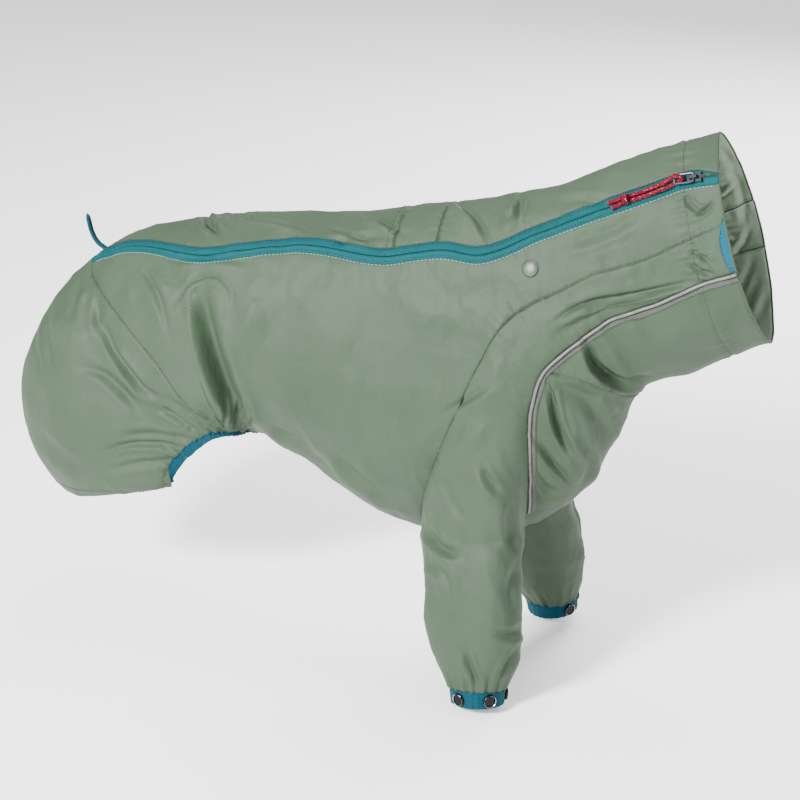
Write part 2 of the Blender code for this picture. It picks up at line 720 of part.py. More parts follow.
def piping_seats():
    """For each place on the piped seam: the bead's centre, and how far it is pushed forward."""
    lift = PIPING_RADIUS + REST_GAP
    seats = []
    for number, line in enumerate(RAGLAN_ROWS):
        beside = raglan_point(line, ACROSS - 1, False)[0] - PIPED_POINTS[number]
        sleeve = np.cross(beside, seam_run(number))
        sleeve /= np.linalg.norm(sleeve)
        front = body_normal(*PIPED[number])
        offset = (sleeve + front) * lift / (1.0 + min(float(np.dot(sleeve, front)), 1.0))
        seats.append((PIPED_POINTS[number] + offset, float(np.linalg.norm(offset - front * lift))))
    return seats


PIPING_SEATS = piping_seats()


def flange_reach(number):
    """How far the flange's outer edge lies from the seam, in mm."""
    return FLANGE_WIDTH + PIPING_SEATS[number][1]


def flange_outer(number):
    """Place of the flange's outer edge: below the seam on the throat, square to it on the chest."""
    row, edge = PIPED[number]
    if row <= YOKE_SIDE:
        return row, edge + degrees_for(row, edge, flange_reach(number))
    ahead = np.cross(body_normal(row, edge), seam_run(number))
    ahead *= math.copysign(flange_reach(number), ahead[0])
    along = (body_point(row + 0.05, edge) - body_point(row - 0.05, edge)) / 0.1
    around = body_point(row, edge + 0.5) - body_point(row, edge - 0.5)
    steps = np.linalg.lstsq(np.array([along, around]).T, ahead, rcond=None)[0]
    return row + float(steps[0]), edge + float(steps[1])


def half_below(number, line=None):
    """Places from the piped seam past the flange's edge to a line, or to the centre below."""
    row, angle = flange_outer(number)
    low = 180.0 if line is None else line_angle(line, row)
    return [PIPED[number]] + [(row, t) for t in blend(angle, low, UNDER)]


def whole_below(half):
    """The same places, and on to the left side."""
    return half + [(row, 360.0 - t) for row, t in reversed(half[:-1])]


def throat_panel():
    """Under the neck; behind, it runs to a point on each side along the yoke seam."""
    panel = Panel(notch=True)
    panel.columns([whole_below(half_below(number))
                   for number, (row, edge) in enumerate(PIPED) if row <= YOKE_START])
    sides = [half_below(number, YOKE_LINE)
             for number, (row, edge) in enumerate(PIPED) if YOKE_START <= row < YOKE_SIDE]
    sides.append([PIPED[[row for row, edge in PIPED].index(YOKE_SIDE)]] * (UNDER + 2))
    panel.columns(sides)
    panel.columns([[(row, 360.0 - t) for row, t in reversed(column)] for column in sides])
    return panel


def chest_panel():
    """Between the sleeves, from the yoke seam to the belly."""
    columns = [[(YOKE_START, 180.0)] * (2 * UNDER + 3)]
    for number, (row, edge) in enumerate(PIPED):
        if YOKE_START < row < YOKE_SIDE:
            angles = blend(line_angle(YOKE_LINE, row), 180.0, UNDER + 1)
            columns.append(whole_below([(row, t) for t in angles]))
        elif row >= YOKE_SIDE:
            columns.append(whole_below(half_below(number)))
    for row in blend(PIPED[-1][0], RAGLAN_ROWS[-1][0], INNER)[1:]:
        columns.append(whole_below([(row, t) for t in blend(ARMPIT_ANGLE, 180.0, UNDER + 1)]))
    panel = Panel()
    panel.columns(columns)
    return panel


def flange_panel():
    """The stitched strip beside the piping, on the throat and then the chest."""
    panel = Panel()
    columns = []
    for number, (row, edge) in enumerate(PIPED):
        outer = flange_outer(number)
        normal = body_normal(row, edge)
        reach = flange_reach(number)
        near = (reach - FLANGE_WIDTH + PIPING_RADIUS + REST_GAP) / reach
        inside = PIPED_POINTS[number] * (1 - near) + body_point(*outer) * near
        columns.append([panel.add((number, 0), inside, normal),
                        panel.add((number, 1), body_point(*outer), body_normal(*outer))])
    panel.grid(columns)
    return panel


# ---- small pieces ------------------------------------------------------------------------------------
def place(name, data, finish):
    """An object in the suit's collection, with its own material."""
    thing = bpy.data.objects.new(name, data)
    SUIT.objects.link(thing)
    colour, roughness, metallic = FINISHES[finish]
    material = bpy.data.materials.new(name + "_" + finish.replace(" ", "_"))
    material.use_nodes = True
    shader = material.node_tree.nodes["Principled BSDF"]
    shader.inputs["Base Color"].default_value = srgb(colour)
    shader.inputs["Roughness"].default_value = roughness
    shader.inputs["Metallic"].default_value = metallic
    data.materials.append(material)
    return thing


def srgb(text):
    """A hex colour as linear red, green, blue and alpha."""
    values = [int(text[start:start + 2], 16) / 255 for start in (1, 3, 5)]
    return [value / 12.92 if value <= 0.04045 else ((value + 0.055) / 1.055) ** 2.4
            for value in values] + [1.0]


def tube(name, points, radius, finish, resolution=2):
    """A round cord or bead along a list of points, with flat ends."""
    curve = bpy.data.curves.new(name, "CURVE")
    curve.dimensions = "3D"
    curve.bevel_depth = radius * MM
    curve.bevel_resolution = resolution
    curve.use_fill_caps = True
    spline = curve.splines.new("POLY")
    spline.points.add(len(points) - 1)
    for target, point in zip(spline.points, points):
        target.co = (point[0] * MM, point[1] * MM, point[2] * MM, 1.0)
    return place(name, curve, finish)


def smooth_route(knots, spacing):
    """Points at an even spacing on a smooth curve through the knots."""
    table = np.array(knots, dtype=float)
    fine = [spline_row(table, step / 12) for step in range(12 * (len(table) - 1) + 1)]
    lengths = [0.0]
    for before, after in zip(fine[:-1], fine[1:]):
        lengths.append(lengths[-1] + float(np.linalg.norm(after - before)))
    count = max(int(round(lengths[-1] / spacing)), 2)
    marks = [lengths[-1] * step / count for step in range(count + 1)]
    return [np.array([np.interp(mark, lengths, [point[axis] for point in fine])
                      for axis in range(3)]) for mark in marks]


def turned(name, profile, centre, normal, finish, steps=12):
    """A turned piece: its profile as (radius, height) pairs, outer side first, top to bottom."""
    mesh = bpy.data.meshes.new(name)
    points = [(radius * MM, 0.0, height * MM) for radius, height in profile]
    mesh.from_pydata(points, [(n, n + 1) for n in range(len(points) - 1)], [])
    thing = place(name, mesh, finish)
    screw = thing.modifiers.new("turn", "SCREW")
    screw.axis = "Z"
    screw.angle = 2 * math.pi
    screw.steps = steps
    screw.render_steps = steps
    screw.use_merge_vertices = True
    screw.merge_threshold = 0.00001
    thing.location = Vector([float(value) * MM for value in centre])
    thing.rotation_mode = "QUATERNION"
    thing.rotation_quaternion = Vector([float(value) for value in normal]).to_track_quat("Z", "Y")
    return thing


def ring_snap_profile(radius):
    """A raised ring with a sunk middle."""
    return ((0.0, 1.1), (radius - 3.4, 1.1), (radius - 2.8, 0.9), (radius - 2.4, 2.2),
            (radius - 0.9, 2.2), (radius, 1.3), (radius, 0.0), (0.0, 0.0))


def cap_snap_profile(radius):
    """A shallow dome."""
    return ((0.0, 2.8), (radius * 0.45, 2.6), (radius * 0.8, 1.9), (radius, 0.8), (radius, 0.0),
            (0.0, 0.0))


def across_sleeve(number):
    """Forward and outward directions square to the sleeve."""
    axis = sleeve_axis(number)
    ahead = np.array([1.0, 0.0, 0.0]) - axis * axis[0]
    ahead /= np.linalg.norm(ahead)
    outward = np.cross(ahead, axis)
    return ahead, outward * math.copysign(1.0, -outward[1])


def make_cuffs():
    """An elastic band below each sleeve, with its ring snaps."""
    top, low = len(SLEEVE) - 2, len(SLEEVE) - 1
    ahead, outward = across_sleeve(top)
    start = np.array(SLEEVE[top][1:4]) + sleeve_axis(top) * SEAM_GAP
    end = np.array(SLEEVE[low][1:4])
    upper = [point + sleeve_axis(top) * SEAM_GAP for point in sleeve_ring(top, CUFF_PROUD)]
    lower = sleeve_ring(low, CUFF_PROUD)
    half_long = (SLEEVE[top][4] + SLEEVE[low][4]) / 2 + CUFF_PROUD
    half_wide = (SLEEVE[top][5] + SLEEVE[low][5]) / 2 + CUFF_PROUD
    taper = (SLEEVE[top][4] - SLEEVE[low][4]) / np.linalg.norm(end - start)
    for side, flip, shift in (("right", RIGHT, 0.0), ("left", LEFT, 1.0)):
        move = LEFT_SLEEVE_SHIFT * shift
        rings = [[point * flip + move for point in ring] for ring in (upper, lower)]
        if side == "left":
            rings = [ring[::-1] for ring in rings]
        ring_wall("cuff_" + side, rings[0], rings[1], start * flip + move, end * flip + move,
                  CUFF_WALL, "teal webbing")
        for number, turn in enumerate(CUFF_SNAPS):
            sine, cosine = math.sin(math.radians(turn)), math.cos(math.radians(turn))
            spot = ahead * half_long * sine + outward * half_wide * cosine
            normal = ahead * sine / half_long + outward * cosine / half_wide
            normal = normal / np.linalg.norm(normal) + sleeve_axis(low) * taper
            normal /= np.linalg.norm(normal)
            centre = (start + end) / 2 + spot + normal * SNAP_GAP
            turned("cuff_snap_%s_%d" % (side, number + 1), ring_snap_profile(RING_SNAP / 2),
                   centre * flip + move, normal * flip, "gunmetal")


def zip_frame(row):
    """Point, forward, across and up directions on the zip's centre line."""
    here = body_point(row, zip_centre(row))
    ahead = body_point(row - 0.25, zip_centre(row - 0.25)) - body_point(row + 0.25,
                                                                        zip_centre(row + 0.25))
    ahead /= np.linalg.norm(ahead)
    up = body_normal(row, zip_centre(row))
    up -= ahead * float(np.dot(up, ahead))
    up /= np.linalg.norm(up)
    return here, ahead, np.cross(up, ahead), up


def make_slider():
    """The slider on the tapes, with a bridge over its back for the puller's bar."""
    here, ahead, across, up = zip_frame(SLIDER_AT)
    seat = here + up * (REST_GAP + SLIDER_SINK)
    frame = Matrix([[ahead[n], across[n], up[n], seat[n] * MM] for n in range(3)] + [[0, 0, 0, 1]])
    plate = bmesh.new()
    bmesh.ops.create_cube(plate, size=1.0)
    for vertex in plate.verts:
        front = vertex.co.x > 0
        wide = SLIDER_WIDTH * (1.0 if front else SLIDER_TAPER)
        vertex.co = Vector((vertex.co.x * SLIDER_LENGTH, vertex.co.y * wide,
                            (vertex.co.z + 0.5) * SLIDER_HEIGHT)) * MM
    mesh = bpy.data.meshes.new("zip_slider")
    plate.to_mesh(mesh)
    plate.free()
    slider = place("zip_slider", mesh, "gunmetal")
    slider.matrix_world = frame
    bridge = bpy.data.curves.new("bridge_outline", "CURVE")
    bridge.dimensions = "2D"
    bridge.fill_mode = "BOTH"
    bridge.extrude = BRIDGE_WIDTH / 2 * MM
    half, thick, rise = BRIDGE_LENGTH / 2, BRIDGE_WALL, BRIDGE_HOLE
    outline = ((-half, -BRIDGE_FOOT), (-half, rise * 0.7), (-half + 1.0, rise + thick),
               (half - 1.0, rise + thick), (half, rise * 0.7), (half, -BRIDGE_FOOT),
               (half - thick, -BRIDGE_FOOT), (half - thick, rise * 0.6), (half - thick - 0.6, rise),
               (-half + thick + 0.6, rise), (-half + thick, rise * 0.6), (-half + thick, -BRIDGE_FOOT))
    spline = bridge.splines.new("POLY")
    spline.points.add(len(outline) - 1)
    for target, (along, height) in zip(spline.points, outline):
        target.co = (along * MM, (height + SLIDER_HEIGHT) * MM, 0.0, 1.0)
    spline.use_cyclic_u = True
    guide = bpy.data.objects.new("bridge_outline", bridge)
    CUTTERS.objects.link(guide)
    bpy.context.view_layer.update()
    graph = bpy.context.evaluated_depsgraph_get()
    arch_mesh = bpy.data.meshes.new_from_object(guide.evaluated_get(graph))
    weld = bmesh.new()
    weld.from_mesh(arch_mesh)
    bmesh.ops.remove_doubles(weld, verts=weld.verts, dist=0.000001)
    weld.to_mesh(arch_mesh)
    weld.free()
    bpy.data.objects.remove(guide)
    arch = bpy.data.objects.new("bridge", arch_mesh)
    CUTTERS.objects.link(arch)
    arch.matrix_world = frame @ Matrix.Rotation(math.pi / 2, 4, "X")
    arch.hide_render = True
    arch.display_type = "WIRE"
    join = slider.modifiers.new("bridge", "BOOLEAN")
    join.operation = "UNION"
    join.solver = "EXACT"
    join.object = arch


def pull_place(back, sideways, above):
    """A point in the puller's own directions: back from its hinge, across the zip, above."""
    here, ahead, across, up = zip_frame(SLIDER_AT)
    hinge = here + up * (REST_GAP + SLIDER_SINK + SLIDER_HEIGHT + REST_GAP + PULL_WIRE)
    tilt = math.radians(PULL_TILT)
    behind = up * math.sin(tilt) - ahead * math.cos(tilt)
    over = up * math.cos(tilt) + ahead * math.sin(tilt)
    return hinge + behind * back + across * sideways + over * above


def zip_place(back, sideways, height):
    """A point over the closed zip, a way back from the puller's hinge along it."""
    here, ahead, across, up = zip_frame(SLIDER_AT + back / ROW_LENGTH_NECK)
    return here + across * sideways + up * height


def make_puller():
    """A wire frame with round corners, hinged on the bar that runs under the bridge."""
    long, wide = PULL_LENGTH - 2 * PULL_WIRE, PULL_WIDTH / 2 - PULL_WIRE
    corner = PULL_CORNER
    outline = []
    centres = ((corner, wide - corner, 90), (corner, -wide + corner, 180),
               (long - corner, -wide + corner, 270), (long - corner, wide - corner, 0))
    for back, sideways, start in centres:
        for step in range(4):
            turn = math.radians(start + 30 * step)
            outline.append((back + corner * math.cos(turn), sideways + corner * math.sin(turn)))
    curve = bpy.data.curves.new("pull_frame", "CURVE")
    curve.dimensions = "3D"
    curve.bevel_depth = PULL_WIRE * MM
    curve.bevel_resolution = 2
    spline = curve.splines.new("POLY")
    spline.points.add(len(outline) - 1)
    for target, (back, sideways) in zip(spline.points, outline):
        point = pull_place(back, sideways, 0.0)
        target.co = (point[0] * MM, point[1] * MM, point[2] * MM, 1.0)
    spline.use_cyclic_u = True
    place("pull_frame", curve, "steel")


def make_pull_cord():
    """One cord through the puller: over its rear bar and back under it, to a knot."""
    bar = PULL_LENGTH - 2 * PULL_WIRE
    clear = CORD_RADIUS + PULL_WIRE + 2 * REST_GAP
    lie = CORD_RADIUS + REST_GAP
    end = CORD_TO_KNOT - KNOT_LONG + 0.9
    route = (
        zip_place(end, CORD_APART, lie + 1.0),
        zip_place(end - 12, CORD_APART, lie + 0.3),
        zip_place(bar + 9, CORD_APART, lie + 2.4),
        pull_place(bar, CORD_APART, clear),
        pull_place(bar - 5, 1.7, clear - 0.6),
        pull_place(bar - 7.6, 0.0, 0.6),
        pull_place(bar - 5, -1.7, -1.6),
        pull_place(bar, -CORD_APART, -clear),
        zip_place(bar + 9, -CORD_APART, lie + 0.2),
        zip_place(end - 12, -CORD_APART, lie),
        zip_place(end, -CORD_APART, lie + 1.0),
    )
    tube("pull_cord", smooth_route(route, 3.8), CORD_RADIUS, "red cord")


def make_knot():
    """The knot and its two short tails."""
    back = CORD_TO_KNOT
    height = KNOT_WIDE + 2 * REST_GAP
    centre = zip_place(back, 0.0, height)
    along = zip_place(back + 1.0, 0.0, height) - centre
    along /= np.linalg.norm(along)
    shape = bmesh.new()
    bmesh.ops.create_uvsphere(shape, u_segments=10, v_segments=7, radius=1.0)
    for vertex in shape.verts:
        vertex.co = Vector((vertex.co.x * KNOT_WIDE, vertex.co.y * KNOT_WIDE,
                            vertex.co.z * KNOT_LONG)) * MM
    mesh = bpy.data.meshes.new("pull_knot")
    shape.to_mesh(mesh)
    shape.free()
    knot = place("pull_knot", mesh, "red cord")
    knot.location = Vector([float(value) * MM for value in centre])
    knot.rotation_mode = "QUATERNION"
    knot.rotation_quaternion = Vector([float(value) for value in along]).to_track_quat("Z", "Y")
    for number, (sideways, reach) in enumerate(((CORD_APART, 14.0), (-CORD_APART, 12.0))):
        route = (zip_place(back + 2.0, sideways * 0.8, height - 1.2),
                 zip_place(back + 7.0, sideways * 1.1, CORD_RADIUS + 0.9),
                 zip_place(back + reach, sideways * 1.3, CORD_RADIUS + 0.7))
        end = tube("tail_guide_%d" % number, smooth_route(route, 3.8), CORD_RADIUS, "red cord")
        join_tube(end, knot)


def join_tube(curve_object, target):
    """Turn a tube into a closed mesh and join it to a piece."""
    bpy.context.view_layer.update()
    graph = bpy.context.evaluated_depsgraph_get()
    mesh = bpy.data.meshes.new_from_object(curve_object.evaluated_get(graph))
    weld = bmesh.new()
    weld.from_mesh(mesh)
    bmesh.ops.remove_doubles(weld, verts=weld.verts, dist=0.000001)
    weld.to_mesh(mesh)
    weld.free()
    name = curve_object.name + "_solid"
    bpy.data.objects.remove(curve_object)
    cutter = bpy.data.objects.new(name, mesh)
    CUTTERS.objects.link(cutter)
    cutter.hide_render = True
    cutter.display_type = "WIRE"
    join = target.modifiers.new(name, "BOOLEAN")
    join.operation = "UNION"
    join.solver = "EXACT"
    join.object = cutter


def make_tail_loop():
    """A doubled cord sewn in at the end of the back, standing up from it."""
    foot = body_point(*TAIL_LOOP_AT)
    knots = ((0, -1.9, 1.3), (-9, -1.9, 7), (-15, -1.9, 17), (-18, -1.8, 29), (-19, 0.0, 33.5),
             (-18, 1.8, 29), (-15, 1.9, 17), (-9, 1.9, 7), (0, 1.9, 1.3))
    route = [foot + np.array(knot, dtype=float) for knot in knots]
    tube("tail_loop", smooth_route(route, 4.5), LOOP_RADIUS, "teal webbing")


def make_piping():
    """A bead on each front seam, from the collar edge to the armpit."""
    bead = [centre for centre, push in PIPING_SEATS]
    tube("piping_right", bead, PIPING_RADIUS, "silver piping", 1)
    tube("piping_left", [point * LEFT for point in bead], PIPING_RADIUS, "silver piping", 1)


def make_body_snap():
    normal = body_normal(*BODY_SNAP_AT)
    turned("body_snap", cap_snap_profile(CAP_SNAP / 2), body_point(*BODY_SNAP_AT) + normal * SNAP_GAP,
           normal, "sage cloth")


def clear_scene():
    for thing in list(bpy.data.objects):
        bpy.data.objects.remove(thing, do_unlink=True)


def make_suit():
    """Every piece of the suit, from the collar to the tail."""
    make_wall("back_front", back_panel(0.0, CROSS_SEAM_FRONT), WALL, "sage cloth")
    make_wall("back_insert", back_panel(CROSS_SEAM_FRONT, CROSS_SEAM_REAR), WALL, "sage cloth")
    make_wall("back_rear", back_panel(CROSS_SEAM_REAR, THIGH_STATIONS[-1]), WALL, "sage cloth")
    make_wall("side_right", side_panel(lambda row: zip_edge(row, ZIP_WIDTH / 2), True), WALL,
              "sage cloth")
    make_wall("side_left", side_panel(zip_centre, False).mirrored(), WALL, "sage cloth")
    hind = hind_panel()
    make_wall("hind_right", hind, WALL, "sage cloth")
    make_wall("hind_left", hind.mirrored(), WALL, "sage cloth")
    make_wall("sleeve_right", sleeve_panel(True), WALL, "sage cloth")
    make_wall("sleeve_left", sleeve_panel(False).mirrored(), WALL, "sage cloth")
    make_wall("collar_gusset", gusset_panel(), WALL, "teal webbing")
    make_wall("throat", throat_panel(), WALL, "sage cloth")
    make_wall("chest", chest_panel(), WALL, "sage cloth")
    binding = binding_panel()
    make_wall("groin_binding_right", binding, WALL, "teal webbing")
    make_wall("groin_binding_left", binding.mirrored(), WALL, "teal webbing")
    make_wall("zip_tape_right", tape_panel(zip_centre, lambda row: zip_edge(row, ZIP_WIDTH / 2)),
              TAPE_WALL, "teal tape")
    make_wall("zip_tape_left", tape_panel(upper_tape_edge, left_tape_inner), TAPE_WALL, "teal tape")
    make_wall("zip_coil", coil_panel(), COIL_WALL, "teal coil", lift=-TAPE_WALL - REST_GAP)
    flange = flange_panel()
    make_wall("piping_flange_right", flange, FLANGE_WALL, "grey flange",
              lift=FLANGE_WALL + REST_GAP)
    make_wall("piping_flange_left", flange.mirrored(), FLANGE_WALL, "grey flange",
              lift=FLANGE_WALL + REST_GAP)
    make_cuffs()
    make_piping()
    make_body_snap()
    make_slider()
    make_puller()
    make_pull_cord()
    make_knot()
    make_tail_loop()


clear_scene()
SUIT = bpy.data.collections.new("dog_rain_suit")
bpy.context.scene.collection.children.link(SUIT)
CUTTERS = bpy.data.collections.new("cutters")
bpy.context.scene.collection.children.link(CUTTERS)
make_suit()
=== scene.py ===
"""Dog rain suit, filled out as if worn: sage rain cloth in eleven panels, a long teal zip, elastic
cuffs with ring snaps, silver piping, a red pull cord, an elastic collar gusset and groin binding.

Frame: +X to the neck, +Y to the dog's left, +Z up, origin at the withers. Sizes are in
millimetres until a mesh is made, and the shape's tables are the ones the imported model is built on.
"""
import itertools
import math

import bmesh
import bpy
import numpy as np
from mathutils import Matrix, Vector, kdtree


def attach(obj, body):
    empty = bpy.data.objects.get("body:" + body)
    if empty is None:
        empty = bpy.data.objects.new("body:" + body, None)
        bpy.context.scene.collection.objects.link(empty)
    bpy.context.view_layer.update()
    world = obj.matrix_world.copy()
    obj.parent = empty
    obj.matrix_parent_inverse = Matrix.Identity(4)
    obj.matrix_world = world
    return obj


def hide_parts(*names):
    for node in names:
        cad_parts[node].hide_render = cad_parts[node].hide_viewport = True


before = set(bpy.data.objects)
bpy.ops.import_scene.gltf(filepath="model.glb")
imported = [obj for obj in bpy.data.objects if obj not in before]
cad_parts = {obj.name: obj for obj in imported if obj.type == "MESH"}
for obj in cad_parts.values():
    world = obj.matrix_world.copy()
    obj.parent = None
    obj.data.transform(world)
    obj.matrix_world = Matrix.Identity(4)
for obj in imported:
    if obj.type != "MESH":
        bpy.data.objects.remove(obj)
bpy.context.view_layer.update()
bpy.ops.object.select_all(action="DESELECT")

MM = 0.001  # one millimetre in metres
LEFT = np.array([1.0, -1.0, 1.0])  # mirrors a place from the dog's right to its left

# ---- sizes of the suit, mm ----
WALL = 1.4  # laminated rain cloth with its lining
REST_GAP = 0.3  # between a piece and what it lies on
SEAM_GAP = 0.3  # between a sleeve and its cuff
ZIP_WIDTH = 15.0  # both tapes together
TAPE_WALL = 1.0
TAPE_SINK = 0.55  # the turned cloth edge stands this much over the tape
BINDING_WIDTH = 9.0  # groin binding
CUFF_WALL = 1.8
CUFF_PROUD = 0.5  # how far a cuff stands out from its sleeve's section
PIPING_RADIUS = 1.5
FLANGE_WIDTH = 6.0  # the grey strip beside the piping
FLANGE_WALL = 0.6
SLIDER_ROOM = 0.35  # more room under the slider's flat base
SLIDER_HEIGHT = 2.6
PULL_LENGTH = 19.0
PULL_WIRE = 0.8
PULL_TILT = 5.0  # degrees that the puller stands off the zip at rest
CORD_RADIUS = 1.9  # red cord
CORD_APART = 2.1  # each strand from the zip's centre line
CORD_TO_KNOT = 60.0  # from the puller's hinge to the knot's middle
KNOT_LONG = 4.6  # knot, half length and radius
KNOT_WIDE = 4.4
KNOT_TURNS = 2.35  # how often the cord winds round in it
KNOT_TAILS = ((CORD_APART, 14.0), (-CORD_APART, 12.0))  # sideways, and back from its middle
ROW_LENGTH_NECK = 38.5  # along the zip for each section of the neck
LOOP_RADIUS = 1.5  # teal cord at the tail
RING_SNAP = 12.8  # cuff snaps, diameter
CAP_SNAP = 14.4  # shoulder snap, diameter
SNAP_GAP = 0.6  # between a snap's flat base and the rounded cloth

# ---- body: top_x, top_z, top_y, low_x, low_z, low_y, bulge, lens ----
SECTIONS = np.array((
    (229, 88, 0, 285, -96, 0, 47, 1.30),  # collar edge
    (200, 77, 0, 252, -112, 0, 47, 1.30),
    (160, 61, 0, 214, -134, 0, 49, 1.25),
    (120, 41, 0, 171, -152, 0, 55, 1.20),
    (88, 26, 0, 148, -193, 0, 62, 1.15),
    (58, 16, 0, 128, -244, 0, 68, 1.10),
    (30, 8, 0, 99, -282, 0, 73, 1.05),
    (0, 1.4, 0, 54, -310, 0, 76, 1.00),  # withers
    (-38, -6, 0, -10, -322, 0, 77, 1.00),
    (-80, -15, 0, -68, -319, 0, 77, 1.00),
    (-125, -22, 0, -118, -295, 0, 76, 1.00),
    (-170, -27, 0, -162, -268, 0, 75, 1.00),
    (-212, -32, 0, -202, -251, 0, 75, 1.00),
    (-252, -39, 0, -221, -250, 12, 70, 1.00),  # groin
    (-292, -49, 0, -235, -258, 26, 65, 1.00),
    (-338, -63, 0, -246, -268, 32, 58, 1.00),
    (-392, -94, 0, -254, -277, 36, 53, 1.00),  # tail
    (-428, -133, 15, -261, -285, 37, 50, 1.00),
    (-458, -184, 21, -267, -293, 37, 50, 1.00),
    (-468, -240, 23, -272, -299, 36, 50, 1.00),
    (-455, -297, 24, -276, -304, 33, 48, 1.00),
    (-425, -341, 26, -280, -307, 30, 38, 1.00),  # thigh hem
), dtype=float)

# ---- lines drawn on the body: section number along, angle round (0 top, 180 underneath) ----
ZIP_LINE = (
    (0.0, 48.0), (1.1, 45.0), (2.0, 46.0), (2.8, 45.0), (4.4, 41.0), (6.3, 42.0), (7.4, 37.0),
    (8.7, 38.0), (10.4, 33.0), (11.8, 38.0), (13.1, 41.0), (14.4, 31.0), (15.3, 20.0), (16.0, 10.0),
)
YOKE_LINE = ((3.2, 180.0), (3.35, 155.0), (3.55, 137.0), (4.05, 116.0), (4.9, 96.0))
THIGH_LINE = (
    (13.3, 151.0), (13.6, 140.0), (14.5, 113.0), (15.1, 90.0), (15.5, 71.0), (15.8, 50.0),
    (16.0, 31.0),
)
CROSS_SEAM_REAR = 8.5  # section numbers of the two seams across the back
CROSS_SEAM_FRONT = 7.5
ARMPIT_ANGLE = 150.0
BELLY_END = 12.35  # front of the opening under the belly
BELLY_RUN = 2.0  # sections over which the opening widens to the thigh's hem
BINDING_START = 0.35  # part of its width that the groin binding has at its front end
BINDING_RUN = 0.4  # sections over which it grows to the whole
BINDING_END = 19.0  # its rear end
BINDING_TAPER = 1.3  # sections over which it runs out to a point
HEM_ANGLE = 150.0
NOTCH_DEPTH = 0.28  # sections that the right collar edge is cut back for the gusset
BODY_SNAP_AT = (4.8, 56.0)
TAIL_LOOP_AT = (15.82, 0.0)
THIGH_FIRST = 13.3  # front end of the thigh seam
BACK_END = 16.0  # where the back and the zip end, at the tail
HEM_ROW = 21.0  # the thigh's hem
HEM_TURN_START = 19.9  # section number from which the hem turns under
HEM_TURN = 8.0  # mm, radius of that turn
HEM_CORNER = 122.0  # degrees where the thigh hem's front corner starts to round
HEM_CORNER_CUT = 1.3  # sections that it is drawn back

# ---- raglan: rear_row, rear_angle, front_row, front_angle, bulge, tube ----
RAGLAN = np.array((
    (0.00, 76.0, 0.00, 102.0, 0.0, 0.0),
    (1.00, 78.0, 1.00, 101.5, 0.0, 0.0),
    (2.40, 80.0, 2.20, 103.0, 0.0, 0.0),
    (4.00, 74.0, 3.20, 103.0, 1.0, 0.0),
    (4.95, 70.0, 4.05, 99.0, 3.0, 0.1),
    (5.90, 73.0, 4.90, 96.0, 5.0, 0.3),
    (6.90, 88.0, 5.40, 101.0, 8.0, 0.5),
    (7.65, 111.0, 5.75, 110.0, 17.0, 0.8),
    (8.14, 136.0, 6.15, 130.0, 40.0, 1.0),
    (8.30, 150.0, 6.50, 150.0, 64.0, 1.0),
), dtype=float)
RAGLAN_LAST = len(RAGLAN) - 1
SLEEVE_OUT = np.array([0.0, -1.0, -0.10])  # the way a shoulder bulges

# ---- sleeve below the armpit: x, y, z, half_long, half_wide, gather ----
SLEEVE = np.array((
    (33, -74, -313, 51.0, 36.0, 0.0),
    (38, -80, -335, 49.0, 35.0, 0.0),
    (43, -86, -360, 46.5, 34.0, 0.1),
    (47, -93, -388, 42.5, 32.0, 0.4),
    (49, -97, -407, 37.0, 29.5, 0.9),
    (51, -100, -420, 30.5, 26.5, 1.2),
    (52, -102, -431, 25.8, 24.0, 0.8),
    (53, -104, -446, 24.2, 22.6, 0.0),
), dtype=float)
LEFT_SLEEVE_SHIFT = np.array([-1.0, 4.0, 5.0])  # the left cuff, against the right one
LEFT_THIGH_SHIFT = np.array([-16.0, 0.0, 8.0])  # the left thigh piece stands further back
SLEEVE_REAR = -100.0  # x in mm ahead of which a point belongs to a front leg
SLEEVE_BEND = -305.0  # z from which the left sleeve moves, and the depth over which it does
SLEEVE_BEND_RUN = 110.0
THIGH_FRONT = -225.0  # x behind which the left thigh moves, and how far to the whole move
THIGH_FRONT_RUN = 50.0
THIGH_TOP_Z = -150.0  # z below which it moves, and how far to the whole move
THIGH_TOP_RUN = 110.0
CUFF_SNAPS = (-22.5, 45.0, 120.0)  # degrees round a cuff: 0 outward, 90 to the front

# ---- folds that shape the suit: path on the body, width, height, kind ----
LARGE_FOLDS = (
    (((13.0, 58.0), (12.5, 80.0), (12.2, 105.0), (12.1, 128.0), (12.3, 155.0)), 22.0, 6.5, "tuck"),
    (((4.6, 104.0), (4.2, 116.0), (3.7, 136.0)), 20.0, 6.0, "tuck"),
    (((4.6, 84.0), (3.4, 90.0), (2.0, 96.0)), 14.0, 3.0, "tuck"),
    (((5.0, 118.0), (5.6, 135.0), (6.0, 150.0)), 24.0, 4.0, "crease"),
    (((17.6, 74.0), (16.0, 108.0), (14.9, 138.0)), 26.0, 3.5, "crease"),
    (((19.4, 96.0), (17.6, 128.0), (15.8, 160.0)), 22.0, 3.5, "crease"),
)

# ---- gathers in the back, mm ----
GATHER_FRONT = -195.0  # x of their front and rear ends
GATHER_REAR = -285.0
GATHER_MIDDLE = -4.0  # y of their middle, and how far they reach to each side
GATHER_REACH = 24.0
GATHER_FLOOR = -90.0  # z below which there are none
GATHER_WAVE = 1.9  # length of a pleat over two pi
GATHER_HEIGHT = 1.2

